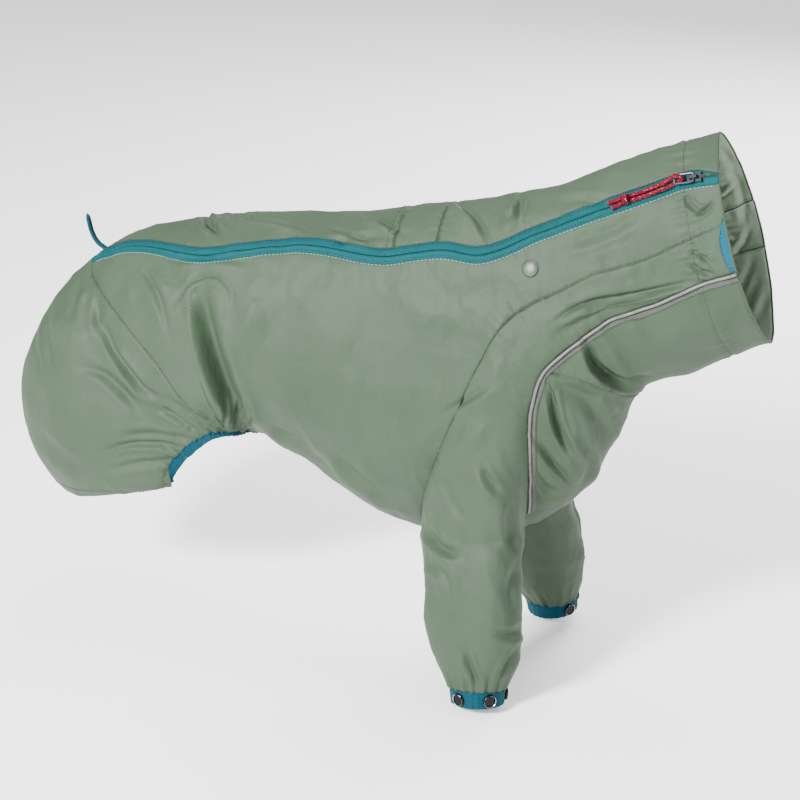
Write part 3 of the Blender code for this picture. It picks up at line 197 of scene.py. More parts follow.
# ---- smaller folds, drawn on the suit as it is seen from the camera's side; the other side has
# them too, moved a little: path in the 800 x 800 view, width in it, height in mm, kind ----
# a tuck is a groove with a ridge to the right of its path; a crease is a groove, a ridge stands up,
# and an edge is where two flat stretches of cloth meet
DRAWN_FOLDS = (
    # hind: the deep fold ahead of the thigh, the arch over it, and the fan from the binding
    (((199, 290), (206, 340), (222, 386), (244, 430)), 19, 4.6, "tuck"),
    (((178, 304), (192, 284), (214, 277), (229, 289), (234, 306)), 6, 1.1, "tuck"),
    (((257, 295), (250, 322), (238, 344)), 15, 2.8, "edge"),
    (((140, 268), (158, 298), (172, 345)), 9, 1.7, "tuck"),
    (((98, 318), (112, 350), (140, 386), (163, 403)), 9, 2.4, "tuck"),
    (((106, 338), (132, 364), (153, 394)), 8, 1.8, "ridge"),
    (((84, 276), (76, 300), (74, 322)), 6, 1.0, "crease"),
    (((156, 266), (167, 300), (174, 340)), 9, 1.6, "edge"),
    (((80, 366), (102, 373), (122, 389), (142, 410)), 9, 2.6, "crease"),
    (((166, 396), (188, 412), (210, 430)), 6, 1.8, "crease"),
    (((160, 408), (180, 420), (204, 436)), 7, 2.0, "tuck"),
    (((118, 436), (150, 434), (200, 441)), 7, 1.8, "crease"),
    (((106, 451), (132, 445), (160, 445), (194, 451)), 7, 2.5, "tuck"),
    (((108, 470), (140, 463), (186, 458)), 7, 1.6, "crease"),
    (((222, 428), (226, 408), (222, 392)), 4, 1.5, "crease"),
    (((233, 428), (238, 410), (238, 396)), 4, 1.5, "crease"),
    (((247, 430), (250, 414), (246, 400)), 4, 1.5, "crease"),
    (((38, 428), (60, 455), (92, 476)), 10, 1.6, "crease"),
    (((52, 306), (48, 340), (56, 372)), 7, 1.4, "crease"),
    (((100, 292), (98, 318), (102, 344)), 6, 1.3, "crease"),
    (((60, 312), (76, 336), (82, 360)), 16, 1.8, "edge"),
    # flank and belly
    (((268, 428), (284, 438), (302, 445)), 8, 1.8, "tuck"),
    (((296, 440), (312, 456), (334, 470)), 9, 1.6, "crease"),
    (((344, 366), (352, 388), (372, 404)), 12, 1.6, "edge"),
    (((330, 452), (352, 476), (384, 498)), 10, 1.8, "tuck"),
    (((300, 300), (330, 330), (350, 352)), 22, 1.8, "edge"),
    (((400, 280), (420, 310), (424, 350)), 20, 1.6, "edge"),
    (((262, 330), (276, 372), (300, 402)), 20, 1.8, "edge"),
    (((176, 262), (206, 258), (248, 262)), 6, 1.1, "crease"),
    # back
    (((203, 214), (210, 224), (221, 234)), 7, 3.2, "crease"),
    (((216, 216), (250, 219), (284, 224), (308, 233)), 6, 1.8, "tuck"),
    (((326, 228), (346, 234), (372, 245)), 7, 1.6, "tuck"),
    (((364, 216), (380, 222), (399, 234)), 7, 2.8, "tuck"),
    (((330, 246), (356, 238), (394, 236)), 6, 1.2, "crease"),
    (((452, 202), (466, 212), (478, 224), (486, 240)), 8, 2.4, "tuck"),
    (((522, 197), (520, 208), (514, 222)), 6, 2.8, "crease"),
    (((500, 226), (510, 216), (528, 210)), 6, 1.2, "crease"),
    (((560, 205), (584, 200), (606, 204)), 8, 1.2, "crease"),
    # neck
    (((556, 323), (582, 307), (632, 297), (694, 283)), 8, 2.6, "tuck"),
    (((640, 214), (600, 234), (556, 246)), 10, 1.0, "crease"),
    (((686, 194), (691, 206), (703, 213)), 5, 1.8, "crease"),
    (((694, 216), (704, 211), (714, 201)), 4, 1.4, "crease"),
    (((687, 261), (700, 270), (714, 275)), 5, 1.8, "crease"),
    (((690, 250), (702, 256), (713, 264)), 4, 1.3, "crease"),
    (((616, 321), (640, 323), (657, 342)), 7, 1.5, "crease"),
    (((656, 332), (690, 330), (730, 322)), 15, 1.8, "edge"),
    # throat and chest
    (((585, 346), (594, 366), (614, 380)), 11, 4.2, "tuck"),
    (((596, 370), (618, 381), (646, 378)), 9, 4.2, "crease"),
    (((608, 344), (618, 360), (630, 376)), 9, 2.2, "ridge"),
    (((551, 388), (557, 424), (573, 458)), 7, 3.6, "crease"),
    (((533, 440), (550, 462), (571, 484)), 7, 2.2, "tuck"),
    (((582, 440), (590, 462), (580, 486)), 7, 1.8, "crease"),
    (((586, 398), (600, 428), (602, 472)), 12, 2.4, "crease"),
    (((566, 400), (574, 430), (566, 482)), 11, 2.2, "ridge"),
    (((612, 398), (622, 414), (612, 440)), 9, 1.8, "ridge"),
    (((534, 470), (544, 486), (560, 494)), 7, 1.5, "crease"),
    # shoulder and sleeve
    (((512, 300), (500, 330), (486, 360)), 13, 1.4, "edge"),
    (((506, 356), (492, 386), (484, 414)), 15, 1.8, "edge"),
    (((444, 470), (452, 500), (470, 520)), 9, 1.4, "crease"),
    (((480, 470), (488, 500), (498, 530), (494, 570), (491, 615), (491, 655)), 20, 4.4, "edge"),
    (((482, 468), (489, 478), (500, 492)), 6, 2.8, "crease"),
    (((426, 528), (442, 547), (460, 556)), 8, 2.2, "crease"),
    (((426, 560), (444, 574), (452, 596)), 8, 1.6, "crease"),
    (((424, 590), (432, 625), (438, 658)), 12, 2.0, "edge"),
    (((508, 498), (504, 530), (514, 556)), 8, 2.0, "crease"),
    (((512, 566), (506, 590), (512, 616)), 9, 1.8, "crease"),
    (((520, 628), (508, 634), (494, 632)), 8, 2.2, "crease"),
    (((514, 648), (506, 664), (500, 676)), 6, 2.0, "crease"),
    (((466, 652), (470, 666), (478, 684)), 6, 2.2, "crease"),
    (((446, 414), (468, 402), (494, 386)), 9, 1.6, "tuck"),
    (((452, 452), (470, 440), (488, 424)), 10, 1.6, "edge"),
)
FOLD_FADE = 1.8  # how far a fold reaches sideways, in widths
DRAWN_FOLD_PART = 2.4  # all their heights are raised by this
COLLAR_FOLD_PART = 0.7  # folds inside the collar are drawn at this part of their height

# ---- camera: looks at the suit from the dog's right, ahead of it and above ----
VIEW_ANGLE = 23.0  # degrees round from square to the side
VIEW_RISE = 20.0  # degrees up
VIEW_DISTANCE = 2200.0  # mm from the target
VIEW_TARGET = np.array([-69.24, 0.0, -200.45])
VIEW_FOCAL = 2315.8  # in pixels of the 800 x 800 view
VIEW_MIDDLE = 400.0
SENSOR = 36.0  # mm
VIEW_BACK = np.array([
    math.sin(math.radians(VIEW_ANGLE)) * math.cos(math.radians(VIEW_RISE)),
    -math.cos(math.radians(VIEW_ANGLE)) * math.cos(math.radians(VIEW_RISE)),
    math.sin(math.radians(VIEW_RISE)),
])
VIEW_RIGHT = np.array([math.cos(math.radians(VIEW_ANGLE)), math.sin(math.radians(VIEW_ANGLE)), 0.0])
VIEW_UP = np.cross(VIEW_BACK, VIEW_RIGHT)
EYE = VIEW_TARGET + VIEW_BACK * VIEW_DISTANCE


def make_camera():
    bpy.ops.object.camera_add()
    camera = bpy.context.object
    camera.name = "camera"
    place = np.stack([VIEW_RIGHT, VIEW_UP, VIEW_BACK, EYE * MM], axis=1)
    camera.matrix_world = Matrix([*place.tolist(), (0.0, 0.0, 0.0, 1.0)])
    camera.data.sensor_width = SENSOR
    camera.data.lens = VIEW_FOCAL / (2 * VIEW_MIDDLE) * SENSOR
    camera.data.clip_start = 0.05
    camera.data.clip_end = 60.0
    bpy.context.scene.camera = camera


# ---- the body's surface ----
def spline_rows(table, places):
    """Rows of a table at fractional places, by a smooth curve through the rows."""
    table = np.asarray(table, dtype=float)
    last = len(table) - 1
    places = np.clip(np.asarray(places, dtype=float), 0.0, last)
    start = np.minimum(places.astype(int), last - 1)
    part = (places - start)[..., None]
    here, after = table[start], table[start + 1]
    before = np.where((start > 0)[..., None], table[np.maximum(start - 1, 0)], 2 * here - after)
    beyond = np.where((start + 2 <= last)[..., None], table[np.minimum(start + 2, last)],
                      2 * after - here)
    return 0.5 * (
        2 * here
        + (after - before) * part
        + (2 * before - 5 * here + 4 * after - beyond) * part ** 2
        + (3 * here - before - 3 * after + beyond) * part ** 3
    )


def line_angles(line, rows):
    """The angles of a drawn line at section numbers."""
    knots = np.array(line, dtype=float)
    last = len(knots) - 1
    rows = np.clip(np.asarray(rows, dtype=float), knots[0, 0], knots[-1, 0])
    start = np.clip(np.searchsorted(knots[:, 0], rows, side="right") - 1, 0, last - 1)
    numbers = np.arange(last + 1)
    before, after = np.maximum(numbers - 1, 0), np.minimum(numbers + 1, last)
    slopes = (knots[after, 1] - knots[before, 1]) / (knots[after, 0] - knots[before, 0])
    span = knots[start + 1, 0] - knots[start, 0]
    part = (rows - knots[start, 0]) / span
    low, high = knots[start, 1], knots[start + 1, 1]
    return (low * (1 + 2 * part) * (1 - part) ** 2 + high * part ** 2 * (3 - 2 * part)
            + slopes[start] * span * part * (1 - part) ** 2
            - slopes[start + 1] * span * part ** 2 * (1 - part))


def plain(rows, angles):
    """Points of the body without its folds; negative angles are on the left."""
    rows, angles = np.broadcast_arrays(np.asarray(rows, float), np.asarray(angles, float))
    top_x, top_z, top_y, low_x, low_z, low_y, bulge, lens = np.moveaxis(
        spline_rows(SECTIONS, rows), -1, 0)
    turn = np.radians(angles)
    down = (1.0 - np.cos(turn)) / 2.0
    side = np.where((angles < 0.0) | (angles > 180.0), -1.0, 1.0)
    out = (bulge * np.abs(np.sin(turn)) ** lens + np.maximum(top_y, 0.0) * (1.0 - down)
           + np.maximum(low_y, 0.0) * down)
    return np.stack([top_x + (low_x - top_x) * down, -side * out,
                     top_z + (low_z - top_z) * down], axis=-1)


def unit(vectors):
    return vectors / np.maximum(np.linalg.norm(vectors, axis=-1, keepdims=True), 1e-9)


def distances(points):
    """How far along a line each of its points lies."""
    steps = np.linalg.norm(np.diff(points, axis=0), axis=1)
    return np.concatenate([[0.0], np.cumsum(steps)])


def directions(path):
    """The direction of a line at each of its points."""
    numbers = np.arange(len(path))
    return unit(path[np.minimum(numbers + 1, len(path) - 1)] - path[np.maximum(numbers - 1, 0)])


def plain_normals(rows, angles):
    """Outward normals of the body without its folds."""
    rows, angles = np.broadcast_arrays(np.asarray(rows, float), np.asarray(angles, float))
    step_row, step = 0.02, 0.5
    along = plain(rows + step_row, angles) - plain(rows - step_row, angles)
    right = (angles >= 0.0) & (angles <= 180.0)
    low = np.where(right, np.maximum(angles - step, 0.01), angles - step)
    high = np.where(right, np.minimum(angles + step, 179.99), angles + step)
    return unit(np.cross(along, plain(rows, high) - plain(rows, low)))


def large_fold_paths():
    paths = []
    for path, width, height, kind in LARGE_FOLDS:
        places = np.linspace(0, len(path) - 1, 6 * (len(path) - 1) + 1)
        knots = spline_rows(np.array(path, dtype=float), places)
        paths.append((plain(knots[:, 0], knots[:, 1]), plain_normals(knots[:, 0], knots[:, 1]),
                      width, height, kind))
    return paths


FOLD_PATHS = large_fold_paths()


def large_fold_lift(points):
    """How far the large folds lift the cloth; both sides fold alike."""
    here = points.copy()
    here[:, 1] = -np.abs(here[:, 1])
    lift = np.zeros(len(points))
    for path, path_normals, width, height, kind in FOLD_PATHS:
        gaps = np.linalg.norm(here[:, None, :] - path[None], axis=2)
        nearest = gaps.argmin(axis=1)
        gap = gaps[np.arange(len(here)), nearest]
        runs = directions(path)
        across = np.cross(path_normals, runs)
        away = here - path[nearest]
        offset = (away * across[nearest]).sum(axis=1)
        along = (nearest + (away * runs[nearest]).sum(axis=1) / 12.0) / (len(path) - 1)
        fade = np.sin(np.pi * np.clip(along, 0.0, 1.0)) ** 0.7
        if kind == "tuck":
            groove = np.exp(-((offset + 0.45 * width) / (0.42 * width)) ** 2)
            ridge = np.exp(-((offset - 0.35 * width) / (0.5 * width)) ** 2)
            shape = 0.8 * ridge - groove
        else:
            shape = -np.exp(-(offset / (0.5 * width)) ** 2)
        reach = np.clip((2.5 * width - gap) / (0.8 * width), 0, 1)
        lift += np.where(gap <= 2.5 * width, height * fade * shape * reach, 0.0)
    return lift


def body(rows, angles):
    """Points and normals of the body's outer face, with its large folds."""
    rows, angles = np.broadcast_arrays(np.asarray(rows, float), np.asarray(angles, float))
    points, normals = plain(rows, angles), plain_normals(rows, angles)
    lift = large_fold_lift(points.reshape(-1, 3)).reshape(rows.shape)
    turned = np.clip((rows - HEM_TURN_START) / (HEM_ROW - HEM_TURN_START), 0.0, 1.0)
    lift = lift - HEM_TURN * (1.0 - np.sqrt(1.0 - 0.98 * turned ** 2))
    return points + normals * lift[..., None], normals


def degrees_for(rows, angles, width):
    """The angle that a width in mm takes round the body."""
    angles = np.asarray(angles)
    arc = np.linalg.norm(plain(rows, angles + 0.5) - plain(rows, angles - 0.5), axis=-1)
    return width / arc


def ease(part):
    """A smooth step from 0 to 1."""
    part = np.clip(part, 0.0, 1.0)
    return part * part * (3.0 - 2.0 * part)


def left_pose(points):
    """Mirrored points moved to where the left legs stand."""
    front = points[..., 0] > SLEEVE_REAR
    arm = ease((SLEEVE_BEND - points[..., 2]) / SLEEVE_BEND_RUN) * front
    thigh = (ease((THIGH_FRONT - points[..., 0]) / THIGH_FRONT_RUN)
             * ease((THIGH_TOP_Z - points[..., 2]) / THIGH_TOP_RUN) * ~front)
    return points + arm[..., None] * LEFT_SLEEVE_SHIFT + thigh[..., None] * LEFT_THIGH_SHIFT


# ---- unevenness of real cloth ----
def bumps(points, size, seed):
    """Smooth unevenness from -1 to 1, with bumps of about a size in mm."""
    spot = points / size + seed * np.array([7.13, 3.71, 5.37])
    cell = np.floor(spot).astype(np.int64)
    part = spot - cell
    part = part * part * (3 - 2 * part)
    total = np.zeros(len(points))
    for corner in itertools.product((0, 1), repeat=3):
        at = cell + corner
        mix = (at[:, 0] * 73856093) ^ (at[:, 1] * 19349663) ^ (at[:, 2] * 83492791)
        mix = (mix ^ (seed * 2654435)) & 0xFFFFFF
        mix = (mix * ((mix * mix * 15731 + 789221) & 0xFFFFFFF) + 1376312589) & 0x7FFFFFFF
        weight = np.prod(np.where(corner, part, 1 - part), axis=1)
        total += (mix / 0x3FFFFFFF - 1.0) * weight
    return total


def in_view(points):
    """Where points lie in the 800 x 800 view."""
    away = points - EYE
    depth = -(away @ VIEW_BACK)
    return np.stack([VIEW_MIDDLE + VIEW_FOCAL * (away @ VIEW_RIGHT) / depth,
                     VIEW_MIDDLE - VIEW_FOCAL * (away @ VIEW_UP) / depth], axis=1)


def drawn_path(path):
    places = np.linspace(0, len(path) - 1, 14 * (len(path) - 1) + 1)
    return spline_rows(np.array(path, dtype=float), places)


DRAWN = [(drawn_path(path), width, height, kind) for path, width, height, kind in DRAWN_FOLDS]
HIDDEN_SIDE_MOVE = np.array([8.0, -5.0])  # the other side's folds, in pixels of the view
HIDDEN_SIDE_PART = 0.8
# folds in the far wall of the neck, seen through the collar: the cloth there hangs in slanting waves
COLLAR_FOLDS = (
    (((752, 258), (744, 278), (734, 300)), 8, 4.2, "tuck"),
    (((768, 292), (760, 312), (748, 332)), 8, 4.2, "tuck"),
    (((748, 228), (740, 246), (728, 262)), 8, 3.4, "tuck"),
    (((728, 164), (740, 196), (743, 226)), 10, 3.2, "tuck"),
    (((722, 148), (730, 160), (742, 168)), 7, 2.6, "crease"),
    (((760, 272), (752, 296), (742, 316)), 6, 2.6, "crease"),
)
COLLAR_DRAWN = [(drawn_path(path), width, height, kind)
                for path, width, height, kind in COLLAR_FOLDS]
COLLAR_REAR = 170.0  # x in mm behind which nothing shows through the collar


def fold_shape(kind, offset, width):
    """Height across a fold: cloth folds to a narrow ridge and lies in a softer hollow."""
    if kind == "tuck":
        ridge = np.exp(-np.hypot(offset - 0.5 * width, 0.12 * width) / (0.5 * width))
        return 0.95 * ridge - np.exp(-((offset + 0.25 * width) / (0.4 * width)) ** 2)
    if kind == "crease":
        sides = np.exp(-((np.abs(offset) - 1.0 * width) / (0.45 * width)) ** 2)
        return 0.45 * sides - np.exp(-np.hypot(offset, 0.1 * width) / (0.45 * width))
    if kind == "edge":
        return np.maximum(1.0 - np.hypot(offset, 0.08 * width) / (1.5 * width), 0.0)
    return np.exp(-np.hypot(offset, 0.15 * width) / (0.6 * width))


def folds_lift(spots, facing, folds):
    """How far folds drawn in the view lift points that lie there."""
    lift = np.zeros(len(spots))
    for path, width, height, kind in folds:
        reach = 2 * FOLD_FADE * width
        low, high = path.min(axis=0) - reach, path.max(axis=0) + reach
        inside = np.flatnonzero(np.all((spots > low) & (spots < high), axis=1) & (facing > 0.0))
        if not len(inside):
            continue
        away = spots[inside, None, :] - path[None]
        nearest = np.linalg.norm(away, axis=2).argmin(axis=1)
        step = away[np.arange(len(inside)), nearest]
        run = directions(path)[nearest]
        offset = run[:, 0] * step[:, 1] - run[:, 1] * step[:, 0]
        past = (run * step).sum(axis=1)
        along = nearest / (len(path) - 1)
        fade = np.sin(np.pi * np.clip(along, 0.02, 0.98)) ** 0.6 * np.exp(-(past / width) ** 2)
        lift[inside] += height * fade * fold_shape(kind, offset, width) * facing[inside]
    return lift


def drawn_lift(points, normals):
    """How far the smaller folds lift the cloth, where they are drawn and on the hidden side."""
    seen = ease((normals @ VIEW_BACK + 0.02) / 0.12)
    hidden = (1.0 - seen) * ease((points[:, 1] - 2.0) / 26.0) * HIDDEN_SIDE_PART
    hidden *= ease(((normals * LEFT) @ VIEW_BACK + 0.05) / 0.25)
    through_collar = ease((-(normals @ VIEW_BACK) - 0.02) / 0.15) * (points[:, 0] > COLLAR_REAR)
    spots = in_view(points)
    shown = folds_lift(spots, seen, DRAWN)
    mirrored = folds_lift(in_view(points * LEFT) + HIDDEN_SIDE_MOVE, hidden, DRAWN)
    inside = folds_lift(spots, through_collar, COLLAR_DRAWN)
    return DRAWN_FOLD_PART * (shown + mirrored) - COLLAR_FOLD_PART * inside


# sizes and heights in mm of the bumps that crumple the cloth
DENT_SIZE = 74.0
DENT_HEIGHT = 1.8
CREASE_SIZE = 36.0
CREASE_HEIGHT = 1.9
SLANT_SIZE = 21.0
SLANT_HEIGHT = 1.4
SMALL_SIZE = 14.0
SMALL_HEIGHT = 0.9


def crumple(points):
    """Soft dents all over, with sharp small creases between them, many of them long and slanting."""
    slanted = np.stack([points[:, 0] + 0.35 * points[:, 2], points[:, 1],
                        0.4 * points[:, 2] - 0.15 * points[:, 0]], axis=1)
    broad = bumps(points, DENT_SIZE, 3) * DENT_HEIGHT
    middle = (0.5 - np.abs(bumps(points, CREASE_SIZE, 5))) * CREASE_HEIGHT
    long = (0.4 - np.abs(bumps(slanted, SLANT_SIZE, 7))) * SLANT_HEIGHT
    small = (0.5 - np.abs(bumps(points * [1.0, 1.0, 0.7], SMALL_SIZE, 9))) * SMALL_HEIGHT
    return broad + middle + long + small


# ---- seams ----
SLIDER_AT = float(spline_rows(RAGLAN, 0.7)[0])
YOKE_START = YOKE_LINE[0][0]
YOKE_SIDE = YOKE_LINE[-1][0]
YOKE_CENTRE = 3.0  # where the yoke starts underneath, on the raglan table
YOKE_PLACE = 5.0  # where it meets the piped seam


def zip_centre(rows):
    return line_angles(ZIP_LINE, rows)


def zip_edge(rows, offset):
    """Angles of a line that runs beside the zip, offset in mm down the right side."""
    centre = zip_centre(rows)
    return centre + degrees_for(rows, centre, offset)


def lower_tape_edge(rows):
    """Where the zip's right tape meets the side piece."""
    return zip_edge(rows, ZIP_WIDTH / 2)


def upper_tape_edge(rows):
    """Where its left tape meets the back; above the slider the tape narrows to the collar."""
    rows = np.asarray(rows, dtype=float)
    part = np.clip(rows / SLIDER_AT, 0.0, 1.0)
    offset = np.where(rows >= SLIDER_AT, ZIP_WIDTH / 2, 2.2 + (ZIP_WIDTH / 2 - 2.2) * part ** 0.6)
    return zip_edge(rows, -offset)


def left_tape_inner(rows):
    """The left tape's toothed edge, which parts from the other one above the slider."""
    part = np.clip(np.asarray(rows, dtype=float) / SLIDER_AT, 0.0, 1.0)
    return zip_edge(rows, -(0.6 + 2.8 * np.sin(np.pi * part)) * (part < 1.0))


def binding_angle(rows):
    """The width of the groin binding as an angle."""
    return degrees_for(rows, open_edge(rows) - 4.0, BINDING_WIDTH)


def open_edge(rows):
    """Edge of the opening under the belly and the thigh."""
    part = np.clip((np.asarray(rows, dtype=float) - BELLY_END) / BELLY_RUN, 0.0, 1.0)
    return 180.0 - (180.0 - HEM_ANGLE) * part * (2.0 - part)


def belly_edge(rows):
    """Lower edge of the side: the centre line, then the upper edge of the groin binding."""
    rows = np.asarray(rows, dtype=float)
    grow = np.clip((rows - BELLY_END) / BINDING_RUN, 0.0, 1.0)
    low = open_edge(rows) - binding_angle(rows) * (BINDING_START + (1 - BINDING_START) * grow)
    return np.where(rows <= BELLY_END, 180.0, low)


def hind_hem(rows):
    """Lower edge of the thigh piece; the binding runs out to a point at its rear end."""
    rows = np.asarray(rows, dtype=float)
    taper = np.clip((BINDING_END - rows) / BINDING_TAPER, 0.0, 1.0)
    return open_edge(rows) - binding_angle(rows) * taper


def notch_ends():
    """Angles where the cut in the collar edge starts and ends."""
    start, end = float(zip_edge(0.0, ZIP_WIDTH / 2)), float(RAGLAN[0, 1])
    piping = float(RAGLAN[0, 3])
    return start + (end - start) * 5 / 7, piping + float(degrees_for(0.0, piping, FLANGE_WIDTH))


NOTCH_START, NOTCH_END = notch_ends()


def cut_back(rows, angles):
    """Section numbers near the right collar edge, drawn back to leave room for the gusset."""
    part = (angles - NOTCH_START) / (NOTCH_END - NOTCH_START)
    depth = NOTCH_DEPTH * np.sin(np.pi * np.clip(part, 0.0, 1.0))
    return rows + depth * np.clip(1.0 - rows, 0.0, 1.0)


def seam_lines():
    """Every seam as closely spaced points with how deep and how puckered it is, both sides."""
    lines = []

    def add(rows, angles, depth, pucker, both=True):
        points = body(rows, angles)[0]
        lines.append((points, depth, pucker))
        if both:
            lines.append((left_pose(points * LEFT), depth, pucker))

    places = np.linspace(0, RAGLAN_LAST, 500)
    line = spline_rows(RAGLAN, places)
    add(line[:, 0], line[:, 1], 1.0, 0.45)
    add(line[:, 2], line[:, 3], 1.1, 0.25)
    rows = np.linspace(YOKE_START, YOKE_SIDE, 160)
    add(rows, line_angles(YOKE_LINE, rows), 0.9, 0.4)
    rows = np.linspace(THIGH_FIRST, BACK_END, 300)
    add(rows, line_angles(THIGH_LINE, rows), 0.9, 0.45)
    rows = np.linspace(0.8, BACK_END, 620)
    add(rows, zip_edge(rows, ZIP_WIDTH / 2 + 0.5), 0.35, 0.22, both=False)
    add(rows, zip_edge(rows, -ZIP_WIDTH / 2 - 0.5), 0.35, 0.3, both=False)
    add(rows, -zip_centre(rows), 0.9, 0.35, both=False)
    for row in (CROSS_SEAM_REAR, CROSS_SEAM_FRONT):
        angles = np.linspace(-float(zip_centre(row)), float(upper_tape_edge(row)), 160)
        add(np.full(160, row), angles, 0.9, 0.6, both=False)
    angles = np.linspace(0.0, 180.0, 300)
    add(np.full(300, 1.0), angles, 0.6, 0.8)
    rows = np.linspace(RAGLAN[-1, 0], BELLY_END, 160)
    add(rows, np.full(160, 180.0), 0.8, 0.3, both=False)
    rows = np.linspace(BELLY_END + 0.1, BINDING_END, 320)
    add(rows, belly_edge(rows), 0.9, 1.1)
    rows = np.linspace(BINDING_END, HEM_ROW - 0.3, 100)
    add(rows, hind_hem(rows) - 5.0, 0.4, 0.6)
    return lines


def seam_tree():
    lines = seam_lines()
    count = sum(len(points) for points, depth, pucker in lines)
    tree = kdtree.KDTree(count)
    facts = np.zeros((count, 3))
    number = 0
    for points, depth, pucker in lines:
        arc = distances(points)
        for point, run in zip(points, arc):
            tree.insert(Vector(point), number)
            facts[number] = (run, depth, pucker)
            number += 1
    tree.balance()
    return tree, facts


SEAM_TREE, SEAM_FACTS = seam_tree()
SEAM_HALF = 1.3  # mm, half the width of a seam's groove
PUCKER_REACH = 9.0  # mm, how far the puckers run out from a seam


def seam_lift(points):
    """Grooves along the seams, and the small puckers that the stitching draws beside them."""
    lift = np.zeros(len(points))
    for number, point in enumerate(points):
        nearest, gap = SEAM_TREE.find(Vector(point))[1:]
        if gap > 3 * PUCKER_REACH:
            continue
        run, depth, pucker = SEAM_FACTS[nearest]
        wave = math.sin(run * 0.83 + 1.7 * math.sin(run * 0.117)) + 0.6 * math.sin(run * 0.47 + 2.0)
        out = math.exp(-gap / PUCKER_REACH)
        lift[number] = (-depth * math.exp(-(gap / SEAM_HALF) ** 2)
                        + pucker * wave * out * min(gap / 1.5, 1.0))
    return lift


def back_gathers(points):
    """Elastic in the back, ahead of the croup, draws the crest into small upright pleats."""
    part = (points[:, 0] - GATHER_FRONT) / (GATHER_REAR - GATHER_FRONT)
    window = (np.sin(np.pi * np.clip(part, 0, 1))
              * np.exp(-((points[:, 1] - GATHER_MIDDLE) / GATHER_REACH) ** 2))
    window *= points[:, 2] > GATHER_FLOOR
    wave = np.sin(points[:, 0] / GATHER_WAVE + 2.2 * np.sin(points[:, 0] / 13.0)
                  + points[:, 1] / 23.0)
    return GATHER_HEIGHT * window * wave


def soft_relief(points, normals):
    """The folds without the seams: what a trim that is sewn on follows."""
    return drawn_lift(points, normals) + crumple(points)


def relief(points, normals):
    """Everything that lifts or sinks the cloth from its large form, in mm."""
    return soft_relief(points, normals) + seam_lift(points) + back_gathers(points)


SHOULDER_END = -332.0  # z in mm where the sleeve leaves the shoulder
SHOULDER_BAND = 42.0  # how far above and below it the cloth is evened out
SHOULDER_ROUNDS = 400


# ---- meshes ----
def new_mesh(name, points, facets, materials, material_numbers=None):
    """An object of a mesh in metres, from points in mm."""
    mesh = bpy.data.meshes.new(name)
    mesh.from_pydata((np.asarray(points) * MM).tolist(), [], facets)
    for material in materials:
        mesh.materials.append(material)
    if material_numbers is not None:
        mesh.polygons.foreach_set("material_index", np.asarray(material_numbers, dtype=np.int32))
    mesh.polygons.foreach_set("use_smooth", np.ones(len(mesh.polygons), dtype=bool))
    mesh.update()
    thing = bpy.data.objects.new(name, mesh)
    bpy.context.scene.collection.objects.link(thing)
    return thing


def grid_facets(shape, closed=False):
    """Facets of a grid of points, as arrays of four numbers."""
    numbers = np.arange(shape[0] * shape[1]).reshape(shape)
    if closed:
        numbers = np.concatenate([numbers, numbers[:, :1]], axis=1)
    return np.stack([numbers[:-1, :-1], numbers[1:, :-1], numbers[1:, 1:], numbers[:-1, 1:]],
                    axis=-1).reshape(-1, 4)


def joined(blocks):
    """One sheet from blocks of grid points; points at one place are shared."""
    points, normals, facets, start = [], [], [], 0
    for block_points, block_normals, closed in blocks:
        facets.append(grid_facets(block_points.shape[:2], closed) + start)
        points.append(block_points.reshape(-1, 3))
        normals.append(block_normals.reshape(-1, 3))
        start += len(points[-1])
    points, normals, facets = map(np.concatenate, (points, normals, facets))
    keys = np.round(points * 200).astype(np.int64)
    first, inverse = np.unique(keys, axis=0, return_index=True, return_inverse=True)[1:]
    inverse = inverse.reshape(-1)
    facets = inverse[facets]
    kept = [tuple(dict.fromkeys(facet)) for facet in facets.tolist()]
    kept = [facet for facet in kept if len(facet) > 2]
    return points[first], normals[first], kept


def facet_normals(points, facets):
    """Normals at the points from the facets round them."""
    sums = np.zeros_like(points)
    squares = np.array([facet if len(facet) == 4 else facet + facet[-1:] for facet in facets])
    corners = points[squares]
    across = np.cross(corners[:, 2] - corners[:, 0], corners[:, 3] - corners[:, 1])
    for column in range(4):
        np.add.at(sums, squares[:, column], across)
    return unit(sums)


def free_edges(facets):
    """Edges that only one facet has."""
    edges = set()
    for facet in facets:
        for start, end in zip(facet, facet[1:] + facet[:1]):
            edges.add((start, end))
    return [(start, end) for start, end in edges if (end, start) not in edges]


def cloth_piece(name, points, normals, facets, materials, wall=WALL, lift=0.0):
    """A closed sheet: its face, its inner face one wall below, and its edges."""
    count = len(points)
    outer = points + normals * lift
    inner = outer - normals * wall
    whole = list(facets)
    whole += [tuple(number + count for number in (facet[0],) + facet[:0:-1]) for facet in facets]
    edges = free_edges(facets)
    whole += [(end, start, start + count, end + count) for start, end in edges]
    numbers = [0] * len(facets) + [1] * len(facets) + [0] * len(edges)
    return new_mesh(name, np.concatenate([outer, inner]), whole, materials,
                    material_numbers=numbers)


def neighbours(facets, count):
    """Pairs of points that share an edge, and how many neighbours each point has."""
    pairs = np.array(sorted({tuple(sorted((start, end))) for facet in facets
                             for start, end in zip(facet, facet[1:] + facet[:1])}))
    return pairs, np.bincount(pairs.ravel(), minlength=count).astype(float)


def mean_of_neighbours(values, pairs, counts):
    sums = np.zeros_like(values)
    for axis in range(values.shape[1]):
        sums[:, axis] = (np.bincount(pairs[:, 0], values[pairs[:, 1], axis], len(values))
                         + np.bincount(pairs[:, 1], values[pairs[:, 0], axis], len(values)))
    return sums / counts[:, None]


